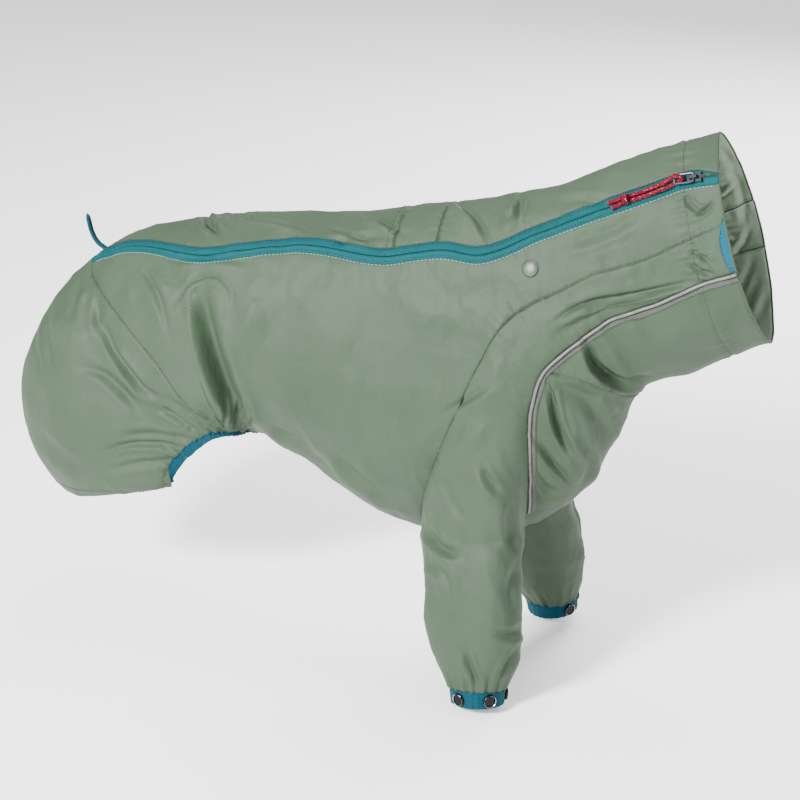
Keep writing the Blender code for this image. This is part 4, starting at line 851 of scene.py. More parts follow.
def calm_normals(points, facets, rounds=8):
    """Normals without the small pleats, so that the inner face never comes through the outer."""
    pairs, counts = neighbours(facets, len(points))
    normals = facet_normals(points, facets)
    for turn in range(rounds):
        normals = unit(normals + mean_of_neighbours(normals, pairs, counts))
    return normals


def eased(points, facets, rounds):
    """The sleeve's points evened out where it leaves the shoulder, its edges kept."""
    pairs, counts = neighbours(facets, len(points))
    weight = np.exp(-((points[:, 2] - SHOULDER_END) / SHOULDER_BAND) ** 2)
    weight[list({number for edge in free_edges(facets) for number in edge})] = 0.0
    for turn in range(rounds):
        middles = mean_of_neighbours(points, pairs, counts)
        points = points + (middles - points) * (0.6 * weight)[:, None]
    return points


def panel_piece(name, blocks, material, left=False, from_facets=False):
    """A cloth panel with its folds, seams and puckers, on the right or mirrored to the left."""
    points, normals, facets = joined(blocks)
    if from_facets:
        points = eased(points, facets, SHOULDER_ROUNDS)
        shaped = calm_normals(points, facets)
        given = np.linalg.norm(normals, axis=1) > 0.5
        normals = np.where(given[:, None] & ((shaped * normals).sum(axis=1) > 0.2)[:, None],
                           normals, shaped)
    if left:
        points, normals = left_pose(points * LEFT), normals * LEFT
        facets = [tuple(reversed(facet)) for facet in facets]
    points = points + normals * relief(points, normals)[:, None]
    return cloth_piece(name, points, calm_normals(points, facets), facets, (material, LINING))


def columns(rows, angle_columns, notch=False):
    """A block from columns of places: rows and angles are arrays of one shape."""
    rows, angles = np.broadcast_arrays(rows, angle_columns)
    if notch:
        rows = cut_back(rows, angles)
    points, normals = body(rows, angles)
    return points, normals, False


def between(low, high, count):
    """Even steps from one array of angles to another, one column each."""
    part = np.linspace(0.0, 1.0, count + 1)
    return np.asarray(low)[:, None] * (1 - part) + np.asarray(high)[:, None] * part


# ---- panels ----
ALONG = 17  # steps along the body for each section number
DOWN = 88  # steps down the side
UNDER = 28  # steps on under the belly
PLACES = np.linspace(0.0, RAGLAN_LAST, 190)


def row_steps(first, last):
    return np.linspace(first, last, max(int(round((last - first) * ALONG)), 2) + 1)


def side_blocks(upper_edge, notch):
    """From the zip or the back seam down to the raglan seam, the belly and the thigh seam."""
    line = spline_rows(RAGLAN, PLACES)
    rows = line[:, 0]
    blocks = [columns(rows[:, None], between(upper_edge(rows), line[:, 1], DOWN), notch)]
    armpit = rows[-1]
    rows = row_steps(armpit, THIGH_FIRST)
    low = belly_edge(rows)
    split = np.minimum(ARMPIT_ANGLE - (rows - armpit) * 1.2, low - 14.0)
    trunk = np.concatenate([between(upper_edge(rows), split, DOWN),
                            between(split, low, UNDER)[:, 1:]], axis=1)
    blocks.append(columns(rows[:, None], trunk))
    thigh_rows = row_steps(THIGH_FIRST, BACK_END)
    thigh = between(upper_edge(thigh_rows), line_angles(THIGH_LINE, thigh_rows), DOWN + UNDER)
    thigh[0] = trunk[-1]
    blocks.append(columns(thigh_rows[:, None], thigh))
    return blocks


def back_blocks(first, last):
    rows = row_steps(first, last)
    return [columns(rows[:, None], between(-zip_centre(rows), upper_tape_edge(rows), 56))]


def hem_corner(rows, angles):
    """Section numbers near the thigh hem's front corner, drawn back so that the corner is round."""
    part = ease((angles - HEM_CORNER) / (HEM_ANGLE - HEM_CORNER))
    low = np.clip((rows - BINDING_END) / (HEM_ROW - BINDING_END), 0, 1)
    return rows - HEM_CORNER_CUT * part * low


def hind_blocks():
    """The thigh piece, from a point in front of the thigh round to the hem."""
    down, top = 90, 16
    rows = row_steps(THIGH_FIRST, BACK_END)
    front = between(line_angles(THIGH_LINE, rows), hind_hem(rows), down)
    front[0] = front[0, -1]
    blocks = [columns(rows[:, None], front)]
    rows = row_steps(BACK_END, HEM_ROW)
    seam = float(line_angles(THIGH_LINE, BACK_END))
    split = seam + (rows - BACK_END) * 1.5
    rear = np.concatenate([between(np.zeros(len(rows)), split, top),
                           between(split, hind_hem(rows), down)[:, 1:]], axis=1)
    blocks.append(columns(hem_corner(rows[:, None], rear), rear))
    return blocks


def flange_outer(places):
    """The flange's outer edge: below the seam on the throat, square to it on the chest."""
    line = spline_rows(RAGLAN, places)
    rows, angles = line[:, 2], line[:, 3]
    normals = body(rows, angles)[1]
    ahead_places = np.clip(places + 0.25, 0, RAGLAN_LAST)
    behind_places = np.clip(places - 0.25, 0, RAGLAN_LAST)
    ahead, behind = spline_rows(RAGLAN, ahead_places), spline_rows(RAGLAN, behind_places)
    run = unit(body(ahead[:, 2], ahead[:, 3])[0] - body(behind[:, 2], behind[:, 3])[0])
    reach = FLANGE_WIDTH + PIPING_RADIUS
    square = np.cross(normals, run)
    square *= (np.sign(square[:, 0]) * reach)[:, None]
    along = (plain(rows + 0.05, angles) - plain(rows - 0.05, angles)) / 0.1
    around = plain(rows, angles + 0.5) - plain(rows, angles - 0.5)
    out_rows, out_angles = rows.copy(), angles + degrees_for(rows, angles, reach)
    for number in np.flatnonzero(places > YOKE_PLACE):
        steps = np.linalg.lstsq(np.array([along[number], around[number]]).T, square[number],
                                rcond=None)[0]
        turn = ease((places[number] - YOKE_PLACE) / 0.5)
        out_rows[number] += steps[0] * turn
        out_angles[number] += (angles[number] + steps[1] - out_angles[number]) * turn
    return out_rows, out_angles


def whole_round(rows, angles):
    """Columns from the right piping to the centre below, and on to the left one."""
    return (np.concatenate([rows, rows[:, -2::-1]], axis=1),
            np.concatenate([angles, 360.0 - angles[:, -2::-1]], axis=1))


def throat_blocks():
    """Under the neck; behind, it runs to a point on each side along the yoke seam."""
    below = 40
    places = np.linspace(0.0, YOKE_CENTRE, 40)
    line = spline_rows(RAGLAN, places)
    angles = between(line[:, 3], np.full(len(places), 180.0), below)
    rows, angles = whole_round(np.repeat(line[:, 2:3], below + 1, axis=1), angles)
    blocks = [columns(rows, angles, True)]
    places = np.linspace(YOKE_CENTRE, YOKE_PLACE, 44)
    line = spline_rows(RAGLAN, places)
    angles = between(line[:, 3], line_angles(YOKE_LINE, line[:, 2]), below)
    angles[-1] = angles[-1, 0]
    rows = np.repeat(line[:, 2:3], below + 1, axis=1)
    blocks.append(columns(rows, angles))
    blocks.append(columns(rows, 360.0 - angles[:, ::-1]))
    return blocks


def chest_blocks():
    """Between the sleeves, from the yoke seam to the belly."""
    first, below = 5, 38
    places = np.linspace(YOKE_CENTRE, YOKE_PLACE, 44)
    rows = spline_rows(RAGLAN, places)[:, 2]
    angles = between(line_angles(YOKE_LINE, rows), np.full(len(rows), 180.0), first + below)
    places = np.linspace(YOKE_PLACE, RAGLAN_LAST, 64)
    line = spline_rows(RAGLAN, places)
    out_rows, out_angles = flange_outer(places)
    low_rows = np.concatenate([between(line[:, 2], out_rows, first),
                               np.repeat(out_rows[:, None], below, axis=1)], axis=1)
    low_angles = np.concatenate([between(line[:, 3], out_angles, first),
                                 between(out_angles, np.full(len(places), 180.0), below)[:, 1:]],
                                axis=1)
    rows = np.repeat(rows[:, None], first + below + 1, axis=1)
    rows[-1], angles[-1] = low_rows[0], low_angles[0]
    blocks = [columns(*whole_round(rows, angles)), columns(*whole_round(low_rows, low_angles))]
    part = np.linspace(0.0, 1.0, 40)[:, None]
    end_angles = np.linspace(ARMPIT_ANGLE, 180.0, first + below + 1)
    rear_rows = low_rows[-1] * (1 - part) + float(RAGLAN[-1, 0]) * part
    rear_angles = low_angles[-1] * (1 - part) + end_angles * part
    blocks.append(columns(*whole_round(rear_rows, rear_angles)))
    return blocks


# ---- sleeves ----
OUTER_STEPS = 80  # steps round a sleeve's outer half, and round its inner one
INNER_STEPS = 56


def raglan_points(places, across, notch):
    """Points across the shoulder: across is 0 at the rear seam and 1 at the piping."""
    line = spline_rows(RAGLAN, places)[:, None, :]
    turn = np.pi * across[None, :]
    tube = line[..., 5]
    part = (1 - tube) * across + tube * (1 - np.cos(turn)) / 2
    rows = line[..., 0] + (line[..., 2] - line[..., 0]) * part
    angles = line[..., 1] + (line[..., 3] - line[..., 1]) * part
    if notch:
        rows = cut_back(rows, angles)
    points, normals = body(rows, angles)
    bulge = np.maximum(line[..., 4], 0.0) * np.sin(turn)
    edge = (across < 1e-6) | (across > 1 - 1e-6)
    normals = normals * edge[None, :, None]
    return points + SLEEVE_OUT * bulge[..., None], normals


def sleeve_axis(number):
    """The way that the sleeve runs at a row of its table, down the leg."""
    before, after = max(number - 1, 0), min(number + 1, len(SLEEVE) - 1)
    return unit(SLEEVE[after, :3] - SLEEVE[before, :3])


def across_sleeve(number):
    """Forward and outward directions square to the sleeve."""
    axis = sleeve_axis(number)
    ahead = unit(np.array([1.0, 0.0, 0.0]) - axis * axis[0])
    outward = np.cross(ahead, axis)
    return ahead, outward * math.copysign(1.0, -outward[1])


def sleeve_ring(number, turns, extra=0.0):
    """The section of the sleeve at a row of its table; turns are 180 at the rear, 0 in front."""
    centre, half_long, half_wide = SLEEVE[number, :3], SLEEVE[number, 3], SLEEVE[number, 4]
    ahead, outward = across_sleeve(number)
    angle = np.radians(turns)[:, None]
    return (centre + ahead * (half_long + extra) * np.cos(angle)
            + outward * (half_wide + extra) * np.sin(angle))


def through(nodes, marks, places):
    """Smooth curves through rows of points, at places measured like the marks."""
    count = len(marks)
    gaps = np.diff(marks)
    system = np.zeros((count, count))
    right = np.zeros((count, nodes.shape[1] * 3))
    flat = nodes.reshape(count, -1)
    system[0, 0] = system[-1, -1] = 1.0
    for number in range(1, count - 1):
        system[number, number - 1] = gaps[number - 1]
        system[number, number] = 2 * (gaps[number - 1] + gaps[number])
        system[number, number + 1] = gaps[number]
        right[number] = 6 * ((flat[number + 1] - flat[number]) / gaps[number]
                             - (flat[number] - flat[number - 1]) / gaps[number - 1])
    curve = np.linalg.solve(system, right)
    start = np.clip(np.searchsorted(marks, places, side="right") - 1, 0, count - 2)
    gap = gaps[start][:, None]
    low, high = (marks[start + 1] - places)[:, None] / gap, (places - marks[start])[:, None] / gap
    result = (low * flat[start] + high * flat[start + 1]
              + ((low ** 3 - low) * curve[start] + (high ** 3 - high) * curve[start + 1])
              * gap ** 2 / 6)
    return result.reshape(len(places), -1, 3)


def sleeve_blocks(notch):
    """The shoulder between its two seams, and the tube below it down to the cuff."""
    across = np.linspace(0.0, 1.0, OUTER_STEPS + 1)
    points, normals = raglan_points(PLACES, across, notch)
    blocks = [(points.transpose(1, 0, 2)[::-1], normals.transpose(1, 0, 2)[::-1], False)]
    outer_turns = 180.0 * (1 - across)
    inner_part = np.linspace(0.0, 1.0, INNER_STEPS + 1)[1:-1]
    inner_turns = -180.0 * inner_part
    above = raglan_points(np.array([8.2, 8.6, RAGLAN_LAST]), across, False)[0]
    front_row, rear_row = RAGLAN[-1, 2], RAGLAN[-1, 0]
    rows = front_row + (rear_row - front_row) * inner_part
    inner_edge = body(rows, np.full(len(rows), ARMPIT_ANGLE))[0]
    rings = [sleeve_ring(number, np.concatenate([outer_turns, inner_turns]))
             for number in range(len(SLEEVE) - 1)]
    fall = rings[0][OUTER_STEPS + 1:] - inner_edge
    lead = [np.concatenate([line, inner_edge - fall * scale])
            for line, scale in zip(above, (0.8, 0.4, 0.0))]
    nodes = np.array(lead + rings)
    middles = nodes.mean(axis=1)
    marks = distances(middles)
    places = np.linspace(marks[2], marks[-1], 70)
    tube = through(nodes, marks, places)
    tube[0] = nodes[2]
    gather = spline_rows(SLEEVE[:, 5:6], np.interp(places, marks[3:], np.arange(len(rings))))[:, 0]
    gather[places < marks[4]] = 0.0
    turn = np.radians(np.concatenate([outer_turns, inner_turns]))
    wave = (np.sin(19 * turn + 1.1 * np.sin(3 * turn))
            + 0.6 * np.sin(31 * turn + 2.0 * np.sin(2 * turn)))
    centre = tube.mean(axis=1, keepdims=True)
    tube += unit(tube - centre) * (gather[:, None] * wave[None, :] * 1.3)[..., None]
    blocks.append((tube, np.zeros_like(tube), True))
    return blocks


# ---- small parts of mesh work ----
def frames_along(points):
    """Directions along a line and a steady one square to it."""
    points = np.asarray(points, dtype=float)
    ahead = unit(np.gradient(points, axis=0))
    side = np.cross(ahead[0], [0.0, 0.0, 1.0])
    if np.linalg.norm(side) < 0.1:
        side = np.cross(ahead[0], [0.0, 1.0, 0.0])
    sides = []
    for direction in ahead:
        side = side - direction * np.dot(side, direction)
        side = side / np.linalg.norm(side)
        sides.append(side)
    return ahead, np.array(sides)


def tube_piece(name, points, radius, material, sides=14):
    """A round cord or bead along a line, closed at its ends, with a map along and round it."""
    points = np.asarray(points, dtype=float)
    radius = np.broadcast_to(np.asarray(radius, dtype=float), len(points))
    ahead, side = frames_along(points)
    up = np.cross(side, ahead)
    angles = 2 * np.pi * np.arange(sides) / sides
    rings = (points[:, None] + radius[:, None, None]
             * (side[:, None] * np.cos(angles)[None, :, None]
                + up[:, None] * np.sin(angles)[None, :, None]))
    count = len(points)
    flat = list(rings.reshape(-1, 3)) + [points[0] - ahead[0] * radius[0] * 0.5,
                                         points[-1] + ahead[-1] * radius[-1] * 0.5]
    facets = [tuple(facet[::-1]) for facet in grid_facets((count, sides), True).tolist()]
    for step in range(sides):
        after = (step + 1) % sides
        facets.append((step, after, count * sides))
        last = (count - 1) * sides
        facets.append((last + after, last + step, count * sides + 1))
    thing = new_mesh(name, flat, facets, (material,))
    run = distances(points)
    layer = thing.data.uv_layers.new(name="cord_map")
    along = np.concatenate([np.repeat(run, sides), [run[0], run[-1]]])
    for loop in thing.data.loops:
        number = loop.vertex_index
        layer.data[loop.index].uv = (float(along[number]), (number % sides) / sides)
    for polygon in thing.data.polygons:
        numbers = [thing.data.loops[loop].vertex_index % sides for loop in polygon.loop_indices]
        if max(numbers) - min(numbers) > sides / 2:
            for loop, number in zip(polygon.loop_indices, numbers):
                if number < sides / 2:
                    spot = layer.data[loop].uv
                    layer.data[loop].uv = (spot[0], spot[1] + 1.0)
    return thing


def smooth_route(knots, spacing):
    """Points at an even spacing on a smooth curve through the knots."""
    table = np.array(knots, dtype=float)
    fine = spline_rows(table, np.linspace(0, len(table) - 1, 12 * (len(table) - 1) + 1))
    run = distances(fine)
    marks = np.linspace(0.0, run[-1], max(int(round(run[-1] / spacing)), 2) + 1)
    return np.stack([np.interp(marks, run, fine[:, axis]) for axis in range(3)], axis=1)


# ---- materials ----
def linear(text):
    """An sRGB hex colour as linear red, green, blue and alpha."""
    values = [int(text[start:start + 2], 16) / 255 for start in (1, 3, 5)]
    return [value / 12.92 if value <= 0.04045 else ((value + 0.055) / 1.055) ** 2.4
            for value in values] + [1.0]


def add_node(material, kind, settings=None, values=None):
    """A node with its settings and its sockets' values; a socket given as a value is linked."""
    made = material.node_tree.nodes.new(kind)
    for name, value in (settings or {}).items():
        setattr(made, name, value)
    for name, value in (values or {}).items():
        if isinstance(value, bpy.types.NodeSocket):
            material.node_tree.links.new(value, made.inputs[name])
        else:
            made.inputs[name].default_value = value
    return made


def plain_material(name, roughness, metallic=0.0, shine=0.5):
    """A new material and its shader, with the values that are the same all over."""
    material = bpy.data.materials.new(name)
    material.use_nodes = True
    shader = material.node_tree.nodes["Principled BSDF"]
    shader.inputs["Roughness"].default_value = roughness
    shader.inputs["Metallic"].default_value = metallic
    shader.inputs["Specular IOR Level"].default_value = shine
    shader.inputs["IOR"].default_value = 1.5
    return material, shader


def rain_cloth(name, light, dark, roughness, crease):
    """Coated polyester rain cloth: a matt satin skin that shows soft crinkles, with a close plain
    weave under it. The weave is drawn three times too coarse, at 0.9 mm, to be seen at all."""
    material, shader = plain_material(name, roughness, shine=0.2)
    link = material.node_tree.links.new
    place = add_node(material, "ShaderNodeTexCoord").outputs["Object"]
    cloud = add_node(material, "ShaderNodeTexNoise", None,
                     {"Vector": place, "Scale": 11.0, "Detail": 3.0, "Roughness": 0.55})
    fleck = add_node(material, "ShaderNodeTexNoise", None,
                     {"Vector": place, "Scale": 520.0, "Detail": 1.0})
    both = add_node(material, "ShaderNodeMath", {"operation": "MULTIPLY_ADD"},
                    {0: fleck.outputs["Fac"], 1: 0.35, 2: cloud.outputs["Fac"]})
    tone = add_node(material, "ShaderNodeMapRange", None,
                    {"Value": both.outputs[0], "From Min": 0.42, "From Max": 0.95})
    colour = add_node(material, "ShaderNodeMix", {"data_type": "RGBA"},
                      {"Factor": tone.outputs[0], 6: linear(dark), 7: linear(light)})
    link(colour.outputs[2], shader.inputs["Base Color"])
    rough = add_node(material, "ShaderNodeMapRange", None,
                     {"Value": cloud.outputs["Fac"], "From Min": 0.3, "From Max": 0.7,
                      "To Min": roughness - 0.05, "To Max": roughness + 0.07})
    link(rough.outputs[0], shader.inputs["Roughness"])
    crinkle = add_node(material, "ShaderNodeTexNoise", None,
                       {"Vector": place, "Scale": 38.0, "Detail": 3.5, "Roughness": 0.5,
                        "Distortion": 0.6})
    crinkle_bump = add_node(material, "ShaderNodeBump", None,
                            {"Height": crinkle.outputs["Fac"], "Strength": crease,
                             "Distance": 0.003})
    weave = add_node(material, "ShaderNodeTexVoronoi", {"feature": "F1"},
                     {"Vector": place, "Scale": 1100.0, "Randomness": 0.35})
    weave_bump = add_node(material, "ShaderNodeBump", None,
                          {"Height": weave.outputs["Distance"], "Strength": 0.12,
                           "Distance": 0.0003, "Normal": crinkle_bump.outputs["Normal"]})
    link(weave_bump.outputs["Normal"], shader.inputs["Normal"])
    return material


def ribbed(name, light, dark, roughness, pitch, across=True, strength=0.5):
    """Woven narrow goods: cords of yarn run along or across, so light breaks into fine ribs."""
    material, shader = plain_material(name, roughness, shine=0.12)
    link = material.node_tree.links.new
    place = add_node(material, "ShaderNodeUVMap").outputs["UV"]
    wave = add_node(material, "ShaderNodeTexWave",
                    {"wave_type": "BANDS", "bands_direction": "Y" if across else "X"},
                    {"Vector": place, "Scale": 0.314 / pitch, "Distortion": 0.6, "Detail": 1.0,
                     "Detail Scale": 1.4})
    spot = add_node(material, "ShaderNodeTexNoise", None, {"Vector": place, "Scale": 0.9,
                                                           "Detail": 2.0})
    # painted shade: the colour follows the wave bands that also raise the bump, darker in the low
    # bands, so the hollows between the ribs are painted darker; the noise spots add random tone
    tone = add_node(material, "ShaderNodeMath", {"operation": "MULTIPLY_ADD"},
                    {0: wave.outputs["Fac"], 1: 0.55, 2: spot.outputs["Fac"]})
    shade = add_node(material, "ShaderNodeMapRange", None,
                     {"Value": tone.outputs[0], "From Min": 0.3, "From Max": 1.15})
    colour = add_node(material, "ShaderNodeMix", {"data_type": "RGBA"},
                      {"Factor": shade.outputs[0], 6: linear(dark), 7: linear(light)})
    link(colour.outputs[2], shader.inputs["Base Color"])
    bump = add_node(material, "ShaderNodeBump", None,
                    {"Height": wave.outputs["Fac"], "Strength": strength, "Distance": 0.0005})
    link(bump.outputs["Normal"], shader.inputs["Normal"])
    return material


def grained(name, light, dark, roughness, metallic, scale, strength):
    """A hard or coated surface with a fine grain and a slight wear in its tone."""
    material, shader = plain_material(name, roughness, metallic)
    link = material.node_tree.links.new
    place = add_node(material, "ShaderNodeTexCoord").outputs["Object"]
    grain = add_node(material, "ShaderNodeTexNoise", None,
                     {"Vector": place, "Scale": scale, "Detail": 2.0})
    wear = add_node(material, "ShaderNodeTexNoise", None, {"Vector": place, "Scale": scale / 7})
    tone = add_node(material, "ShaderNodeMath", {"operation": "MULTIPLY_ADD"},
                    {0: grain.outputs["Fac"], 1: 0.4, 2: wear.outputs["Fac"]})
    shade = add_node(material, "ShaderNodeMapRange", None,
                     {"Value": tone.outputs[0], "From Min": 0.4, "From Max": 1.0})
    colour = add_node(material, "ShaderNodeMix", {"data_type": "RGBA"},
                      {"Factor": shade.outputs[0], 6: linear(dark), 7: linear(light)})
    link(colour.outputs[2], shader.inputs["Base Color"])
    rough = add_node(material, "ShaderNodeMapRange", None,
                     {"Value": wear.outputs["Fac"], "To Min": roughness - 0.06,
                      "To Max": roughness + 0.1})
    link(rough.outputs[0], shader.inputs["Roughness"])
    bump = add_node(material, "ShaderNodeBump", None,
                    {"Height": grain.outputs["Fac"], "Strength": strength, "Distance": 0.0002})
    link(bump.outputs["Normal"], shader.inputs["Normal"])
    return material


def braided_cord(name, light, dark, fleck):
    """Braided polyester: two sets of yarns cross at a slant, with a pale tracer yarn among them."""
    material, shader = plain_material(name, 0.62, shine=0.15)
    link = material.node_tree.links.new
    place = add_node(material, "ShaderNodeUVMap").outputs["UV"]
    yarns = []
    for slant in (1.0, -1.0):
        turned = add_node(material, "ShaderNodeMapping", None,
                          {"Vector": place, "Scale": (1.15, 3.0 * slant, 1.0)})
        yarns.append(add_node(material, "ShaderNodeTexWave",
                              {"wave_type": "BANDS", "bands_direction": "DIAGONAL"},
                              {"Vector": turned.outputs[0], "Scale": 0.55}).outputs["Fac"])
    crossed = add_node(material, "ShaderNodeMath", {"operation": "MULTIPLY"},
                       {0: yarns[0], 1: yarns[1]})
    # painted shade: the colour follows the crossed waves that also raise the bump, dark where they
    # are low, so the hollows between the yarns are painted darker; the pale flecks are the tracer
    # yarn
    shade = add_node(material, "ShaderNodeMix", {"data_type": "RGBA"},
                     {"Factor": crossed.outputs[0], 6: linear(dark), 7: linear(light)})
    squeezed = add_node(material, "ShaderNodeMapping", None,
                        {"Vector": place, "Scale": (0.8, 5.0, 1.0)})
    spots = add_node(material, "ShaderNodeTexVoronoi", {"feature": "F1"},
                     {"Vector": squeezed.outputs[0], "Scale": 1.0, "Randomness": 0.5})
    pale = add_node(material, "ShaderNodeMapRange", None,
                    {"Value": spots.outputs["Distance"], "From Min": 0.22, "From Max": 0.15})
    colour = add_node(material, "ShaderNodeMix", {"data_type": "RGBA"},
                      {"Factor": pale.outputs[0], 6: shade.outputs[2], 7: linear(fleck)})
    link(colour.outputs[2], shader.inputs["Base Color"])
    bump = add_node(material, "ShaderNodeBump", None,
                    {"Height": crossed.outputs[0], "Strength": 0.6, "Distance": 0.0005})
    link(bump.outputs["Normal"], shader.inputs["Normal"])
    return material


SAGE = rain_cloth("sage_rain_cloth", "#394838", "#2F3E2E", 0.58, 0.5)
# the inner face keeps the cloth's sage hue but is set several times lighter than the outer cloth:
# painted light that brightens the inside of the neck, where the lamps reach little
LINING = rain_cloth("sage_cloth_back", "#8A9B87", "#768773", 0.6, 0.35)
# sewing thread in the cloth's colour, a little darker, so a seam reads as a fine dotted line
SAGE_THREAD = grained("sage_thread", "#2B3629", "#222C20", 0.6, 0.0, 900.0, 0.2)
PALE_THREAD = grained("pale_blue_thread", "#5E8C8C", "#4A7677", 0.6, 0.0, 900.0, 0.2)
DARK_THREAD = grained("dark_teal_thread", "#03323A", "#02242B", 0.6, 0.0, 900.0, 0.2)
# woven zip tape, ribbed across, gives a dry sheen
TAPE = ribbed("teal_zip_tape", "#004C50", "#00393E", 0.66, 1.1, across=False, strength=0.35)
COIL = grained("teal_nylon_coil", "#04606C", "#02444E", 0.42, 0.0, 500.0, 0.1)
# covered elastic: heavy lengthwise ribs that stretch
ELASTIC = ribbed("teal_elastic", "#004352", "#002D39", 0.68, 1.3, across=True, strength=0.8)
GUSSET = ribbed("teal_gusset_elastic", "#00586C", "#004354", 0.66, 1.2, across=True, strength=0.6)
# reflective piping: glass beads in a silver film, pale and slightly metallic
PIPING = grained("silver_piping", "#646361", "#504E4D", 0.42, 0.2, 1500.0, 0.35)
FLANGE = ribbed("grey_flange_tape", "#50564E", "#3F453E", 0.6, 0.9, across=False, strength=0.3)
# blackened brass of a press stud's ring
GUNMETAL = grained("gunmetal_snap", "#2A2C2F", "#17191B", 0.3, 0.95, 300.0, 0.08)
# painted highlight: a near-white metal laid on the stud's raised ring, standing in for the light
# that it catches
HIGHLIGHT_RING = grained("snap_ring_painted_highlight", "#DAD8D4", "#A8A6A2", 0.24, 1.0, 300.0, 0.06)
CAP_PAINT = grained("painted_snap_cap", "#45523F", "#3B4838", 0.42, 0.0, 260.0, 0.06)
# die-cast zip slider and its bright wire puller
SLIDER = grained("gunmetal_slider", "#2C2E32", "#17191C", 0.34, 0.9, 350.0, 0.1)
STEEL = grained("bright_puller_wire", "#5E6064", "#3A3C40", 0.42, 1.0, 350.0, 0.05)
RED_CORD = braided_cord("red_braided_cord", "#84002A", "#40000F", "#D08C98")
RED_TIP = grained("singed_cord_tip", "#6A1420", "#3A0A12", 0.5, 0.0, 400.0, 0.3)
LOOP_CORD = braided_cord("teal_braided_cord", "#004C5E", "#00303E", "#005E72")


# ---- attaching pieces ----
def carried(thing, node=None, body_name="suit"):
    """The piece goes with its CAD body and hides the CAD node that it stands for."""
    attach(thing, body_name)
    if node is not None:
        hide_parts(node)
    return thing


# ---- cords ----
def zip_frame(row):
    """Point, forward, across and up directions on the zip's centre line."""
    rows = np.array([row, row - 0.25, row + 0.25])
    points, normals = body(rows, zip_centre(rows))
    ahead = unit(points[1] - points[2])
    up = normals[0] - ahead * np.dot(normals[0], ahead)
    up = unit(up)
    return points[0], ahead, np.cross(up, ahead), up


def pull_place(back, sideways, above):
    """A point in the puller's own directions: back from its hinge, across the zip, above."""
    here, ahead, across, up = zip_frame(SLIDER_AT)
    hinge = here + up * (REST_GAP + SLIDER_ROOM + SLIDER_HEIGHT + REST_GAP + PULL_WIRE)
    tilt = math.radians(PULL_TILT)
    behind = up * math.sin(tilt) - ahead * math.cos(tilt)
    over = up * math.cos(tilt) + ahead * math.sin(tilt)
    return hinge + behind * back + across * sideways + over * above


def zip_place(back, sideways, height):
    """A point over the closed zip, a way back from the puller's hinge along it."""
    here, _, across, up = zip_frame(SLIDER_AT + back / ROW_LENGTH_NECK)
    return here + across * sideways + up * height


def make_pull_cord():
    """One cord through the puller, over its rear bar and back under it, tied in a knot."""
    bar = PULL_LENGTH - 2 * PULL_WIRE
    clear = CORD_RADIUS + PULL_WIRE + 2 * REST_GAP
    lie = CORD_RADIUS + REST_GAP
    end = CORD_TO_KNOT - KNOT_LONG + 0.9
    route = (
        zip_place(end, CORD_APART, lie + 1.0),
        zip_place(end - 12, CORD_APART, lie + 0.3),
        zip_place(bar + 9, CORD_APART, lie + 2.4),
        pull_place(bar, CORD_APART, clear),
        pull_place(bar - 5, 1.7, clear - 0.6),
        pull_place(bar - 7.6, 0.0, 0.6),
        pull_place(bar - 5, -1.7, -1.6),
        pull_place(bar, -CORD_APART, -clear),
        zip_place(bar + 9, -CORD_APART, lie + 0.2),
        zip_place(end - 12, -CORD_APART, lie),
        zip_place(end, -CORD_APART, lie + 1.0),
    )
    points = smooth_route(route, 1.6)
    cord = tube_piece("red_pull_cord", points, CORD_RADIUS, RED_CORD, 14)
    carried(cord, "pull_cord", "pull")
    knot = make_knot()


def make_knot():
    """An overhand knot: the cord wound round itself, and its two singed tails."""
    height = KNOT_WIDE + 2 * REST_GAP
    centre = zip_place(CORD_TO_KNOT, 0.0, height)
    along = unit(zip_place(CORD_TO_KNOT + 1.0, 0.0, height) - centre)
    side = unit(np.cross(along, [0.0, 0.0, 1.0]))
    up = np.cross(side, along)
    turns = np.linspace(0.0, 1.0, 90)
    angle = 2 * np.pi * KNOT_TURNS * turns + 0.6
    reach = KNOT_WIDE - CORD_RADIUS * 0.82
    wound = (centre + along * ((turns - 0.5) * 2 * (KNOT_LONG - CORD_RADIUS * 0.9))[:, None]
             + side * (reach * np.cos(angle))[:, None] + up * (reach * np.sin(angle))[:, None])
    parts = [tube_piece("knot_turns", wound, CORD_RADIUS * 0.92, RED_CORD, 12)]
    half = along * KNOT_LONG * 0.8
    core = smooth_route([centre - half, centre, centre + half], 0.8)
    parts.append(tube_piece("knot_core", core, CORD_RADIUS * 1.25, RED_CORD, 12))
    for number, (sideways, reach) in enumerate(KNOT_TAILS):
        route = smooth_route((zip_place(CORD_TO_KNOT + 2.0, sideways * 0.8, height - 1.2),
                              zip_place(CORD_TO_KNOT + 7.0, sideways * 1.1, CORD_RADIUS + 0.9),
                              zip_place(CORD_TO_KNOT + reach, sideways * 1.3, CORD_RADIUS + 0.7)),
                             0.9)
        parts.append(tube_piece("knot_tail_%d" % number, route, CORD_RADIUS, RED_CORD, 12))
        tip = route[-3:]
        parts.append(tube_piece("knot_tip_%d" % number, tip, CORD_RADIUS * 1.06, RED_TIP, 12))
    knot = merged("red_cord_knot", parts)
    return carried(knot, "pull_knot", "pull")


def make_tail_loop():
    """A doubled teal cord sewn in at the end of the back, standing up from it."""
    foot = body(*TAIL_LOOP_AT)[0]
    knots = ((0, -1.9, 1.3), (-9, -1.9, 7), (-15, -1.9, 17), (-18, -1.8, 29), (-19, 0.0, 33.5),
             (-18, 1.8, 29), (-15, 1.9, 17), (-9, 1.9, 7), (0, 1.9, 1.3))
    points = smooth_route([foot + np.array(knot, dtype=float) for knot in knots], 1.6)
    loop = tube_piece("tail_cord_loop", points, LOOP_RADIUS, LOOP_CORD, 12)
    carried(loop, "tail_loop")


